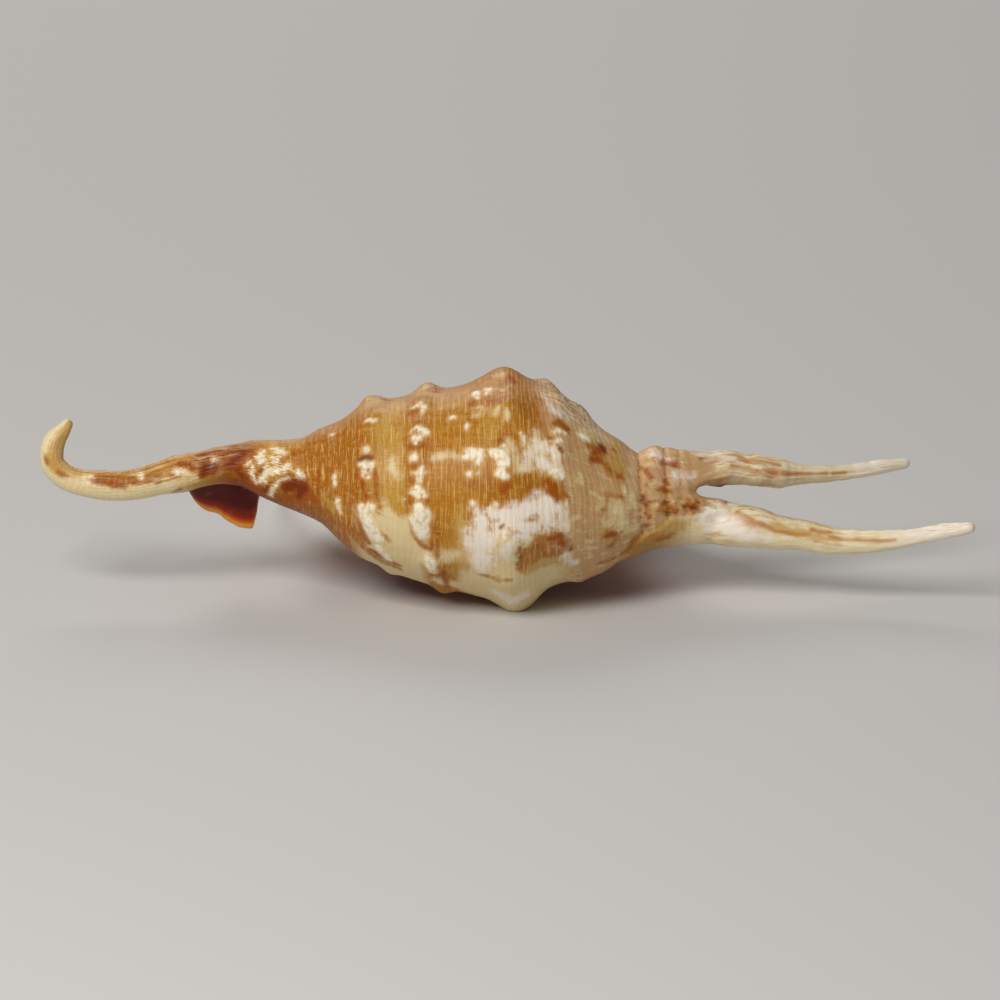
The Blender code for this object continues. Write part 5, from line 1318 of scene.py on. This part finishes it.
# The glaze within: red under the lobe, painted almost black-red there, partly its deep colour and partly
# painted shade within the lobe; orange in the aperture, ivory in the canal's groove
LOBE_ENDS = (-37.5, -33.0)
GROOVE = (-49.0, -53.0)
INNER_LIP_TURNS = (264.0, 282.0)
INNER_LIP_PLACE = ((-34.0, -26.0), (27.0, 22.0))
INNER_LIP_REDDENS = (274.0, 286.0)
lobe_lining_and_shade = ramp_colours(wing, ((0.0, EMBER), (0.6, EMBER), (0.84, FLAME), (0.93, ORANGE), (1.0, RIM)))
mouth_lining = ramp_colours(wing + blotch * 0.12, (
    (0.0, FLAME), (0.12, ORANGE), (0.55, ORANGE), (0.85, AMBER), (1.0, CREAM)))
lining = mix(place.rise(*LOBE_ENDS), lobe_lining_and_shade, mouth_lining)
lining = mix(place.rise(*GROOVE), lining, IVORY)
inner_lip = (turn + blotch * 16.0).rise(*INNER_LIP_TURNS) * place.zone(*INNER_LIP_PLACE)
colour = mix(inner_lip, colour, mix(turn.rise(*INNER_LIP_REDDENS), AMBER, ORANGE))
colour = mix(inside.rise(0.3, 0.8) * (along + blotch * 9.0).rise(6.0, 0.0), colour, lining)

# The surface: fine cords and grain, silky outside and glossier where it is glazed
BUMP_STRENGTH = 0.5
BUMP_DISTANCE = 0.00008
SILKY = 0.42
GLOSSY_CANAL = (-38.0, -46.0)
SPECULAR = 0.2
bump_height = cord_phase.sine() * 0.35 + fringe * 1.2 + crumb * 0.8 - frill * frilled * 1.5
bump = pen.node("ShaderNodeBump", inputs={"Strength": BUMP_STRENGTH, "Distance": BUMP_DISTANCE,
                                          "Height": bump_height * (1.0 - inside)})
gloss = 0.0
for where, amount in ((inside, 0.14), (on_digit, 0.12), (place.rise(*GLOSSY_CANAL), 0.14), (callused, 0.12)):
    gloss = (where * amount).largest(gloss)
shell_tree.links.new(colour.socket, glaze.inputs["Base Color"])
shell_tree.links.new(bump.socket, glaze.inputs["Normal"])
shell_tree.links.new((SILKY - gloss).socket, glaze.inputs["Roughness"])
glaze.inputs["Specular IOR Level"].default_value = SPECULAR

# The tree is applied and the mesh handed over
relief = shell.modifiers.new("relief", "NODES")
relief.node_group = relief_tree
for name, value in RELIEF_SIZES:
    relief[size_sockets[name].identifier] = value
relief[material_socket.identifier] = shell_material
carved_mesh = bpy.data.meshes.new_from_object(
    shell.evaluated_get(bpy.context.evaluated_depsgraph_get()), preserve_all_data_layers=True,
    depsgraph=bpy.context.evaluated_depsgraph_get())
shell.modifiers.remove(relief)
shell.data = carved_mesh
bpy.data.meshes.remove(shell_mesh)
carved_mesh.shade_smooth()
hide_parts("shell")
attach(shell, "root")

# The floor. A plain pale sheet that the shell lies on; it isn't part of it.
FLOOR_HALF = 3.0
FLOOR_COLOUR = (0.62, 0.61, 0.6, 1.0)
FLOOR_ROUGHNESS = 0.85
floor_mesh = bpy.data.meshes.new("floor")
corners = [(-FLOOR_HALF, -FLOOR_HALF, 0.0), (FLOOR_HALF, -FLOOR_HALF, 0.0),
           (FLOOR_HALF, FLOOR_HALF, 0.0), (-FLOOR_HALF, FLOOR_HALF, 0.0)]
floor_mesh.from_pydata(corners, [], [(0, 1, 2, 3)])
floor_material = bpy.data.materials.new("floor")
floor_material.use_nodes = True
floor_material.node_tree.nodes["Principled BSDF"].inputs["Base Color"].default_value = FLOOR_COLOUR
floor_material.node_tree.nodes["Principled BSDF"].inputs["Roughness"].default_value = FLOOR_ROUGHNESS
floor_mesh.materials.append(floor_material)
floor = bpy.data.objects.new("floor", floor_mesh)
bpy.context.collection.objects.link(floor)

# The studio. A strong soft light at the upper left of the camera, a weaker one above and behind the
# shell, and a dim even sky.
SKY = (1.0, 0.98, 0.95, 1.0)
SKY_STRENGTH = 0.17
LIGHTS = (("key", (-0.3, -0.52, 0.58), 0.36, 4.8, (1.0, 0.98, 0.95)),
          ("rim", (-0.12, 0.58, 0.5), 0.4, 1.6, (1.0, 0.96, 0.93)))
world = bpy.data.worlds.new("studio")
world.use_nodes = True
world.node_tree.nodes["Background"].inputs["Color"].default_value = SKY
world.node_tree.nodes["Background"].inputs["Strength"].default_value = SKY_STRENGTH
bpy.context.scene.world = world
bpy.context.scene.view_settings.view_transform = "Standard"
for name, spot, size, power, tint in LIGHTS:
    lamp = bpy.data.lights.new(name, "AREA")
    lamp.size = size
    lamp.energy = power
    lamp.color = tint
    lamp_object = bpy.data.objects.new(name, lamp)
    lamp_object.location = spot
    lamp_object.rotation_mode = "QUATERNION"
    lamp_object.rotation_quaternion = Vector(spot).to_track_quat("Z", "Y")
    bpy.context.collection.objects.link(lamp_object)

# The camera. It looks at the shell's left side with a long lens, square on as the photograph does,
# which is 18 degrees down on the shell as it lies here.
LENS = 576.0
SENSOR = 36.0
CAMERA_DISTANCE = 2.4
AIM = (-0.00084, -0.02326, 0.01547)
camera_data = bpy.data.cameras.new("camera")
camera_data.lens = LENS
camera_data.sensor_width = SENSOR
camera = bpy.data.objects.new("camera", camera_data)
camera.location = Vector(AIM) + CAMERA_DISTANCE * Vector((0.0, -math.cos(REST_ROLL), math.sin(REST_ROLL)))
camera.rotation_euler = (math.pi / 2.0 - REST_ROLL, 0.0, 0.0)
bpy.context.collection.objects.link(camera)
bpy.context.scene.camera = camera
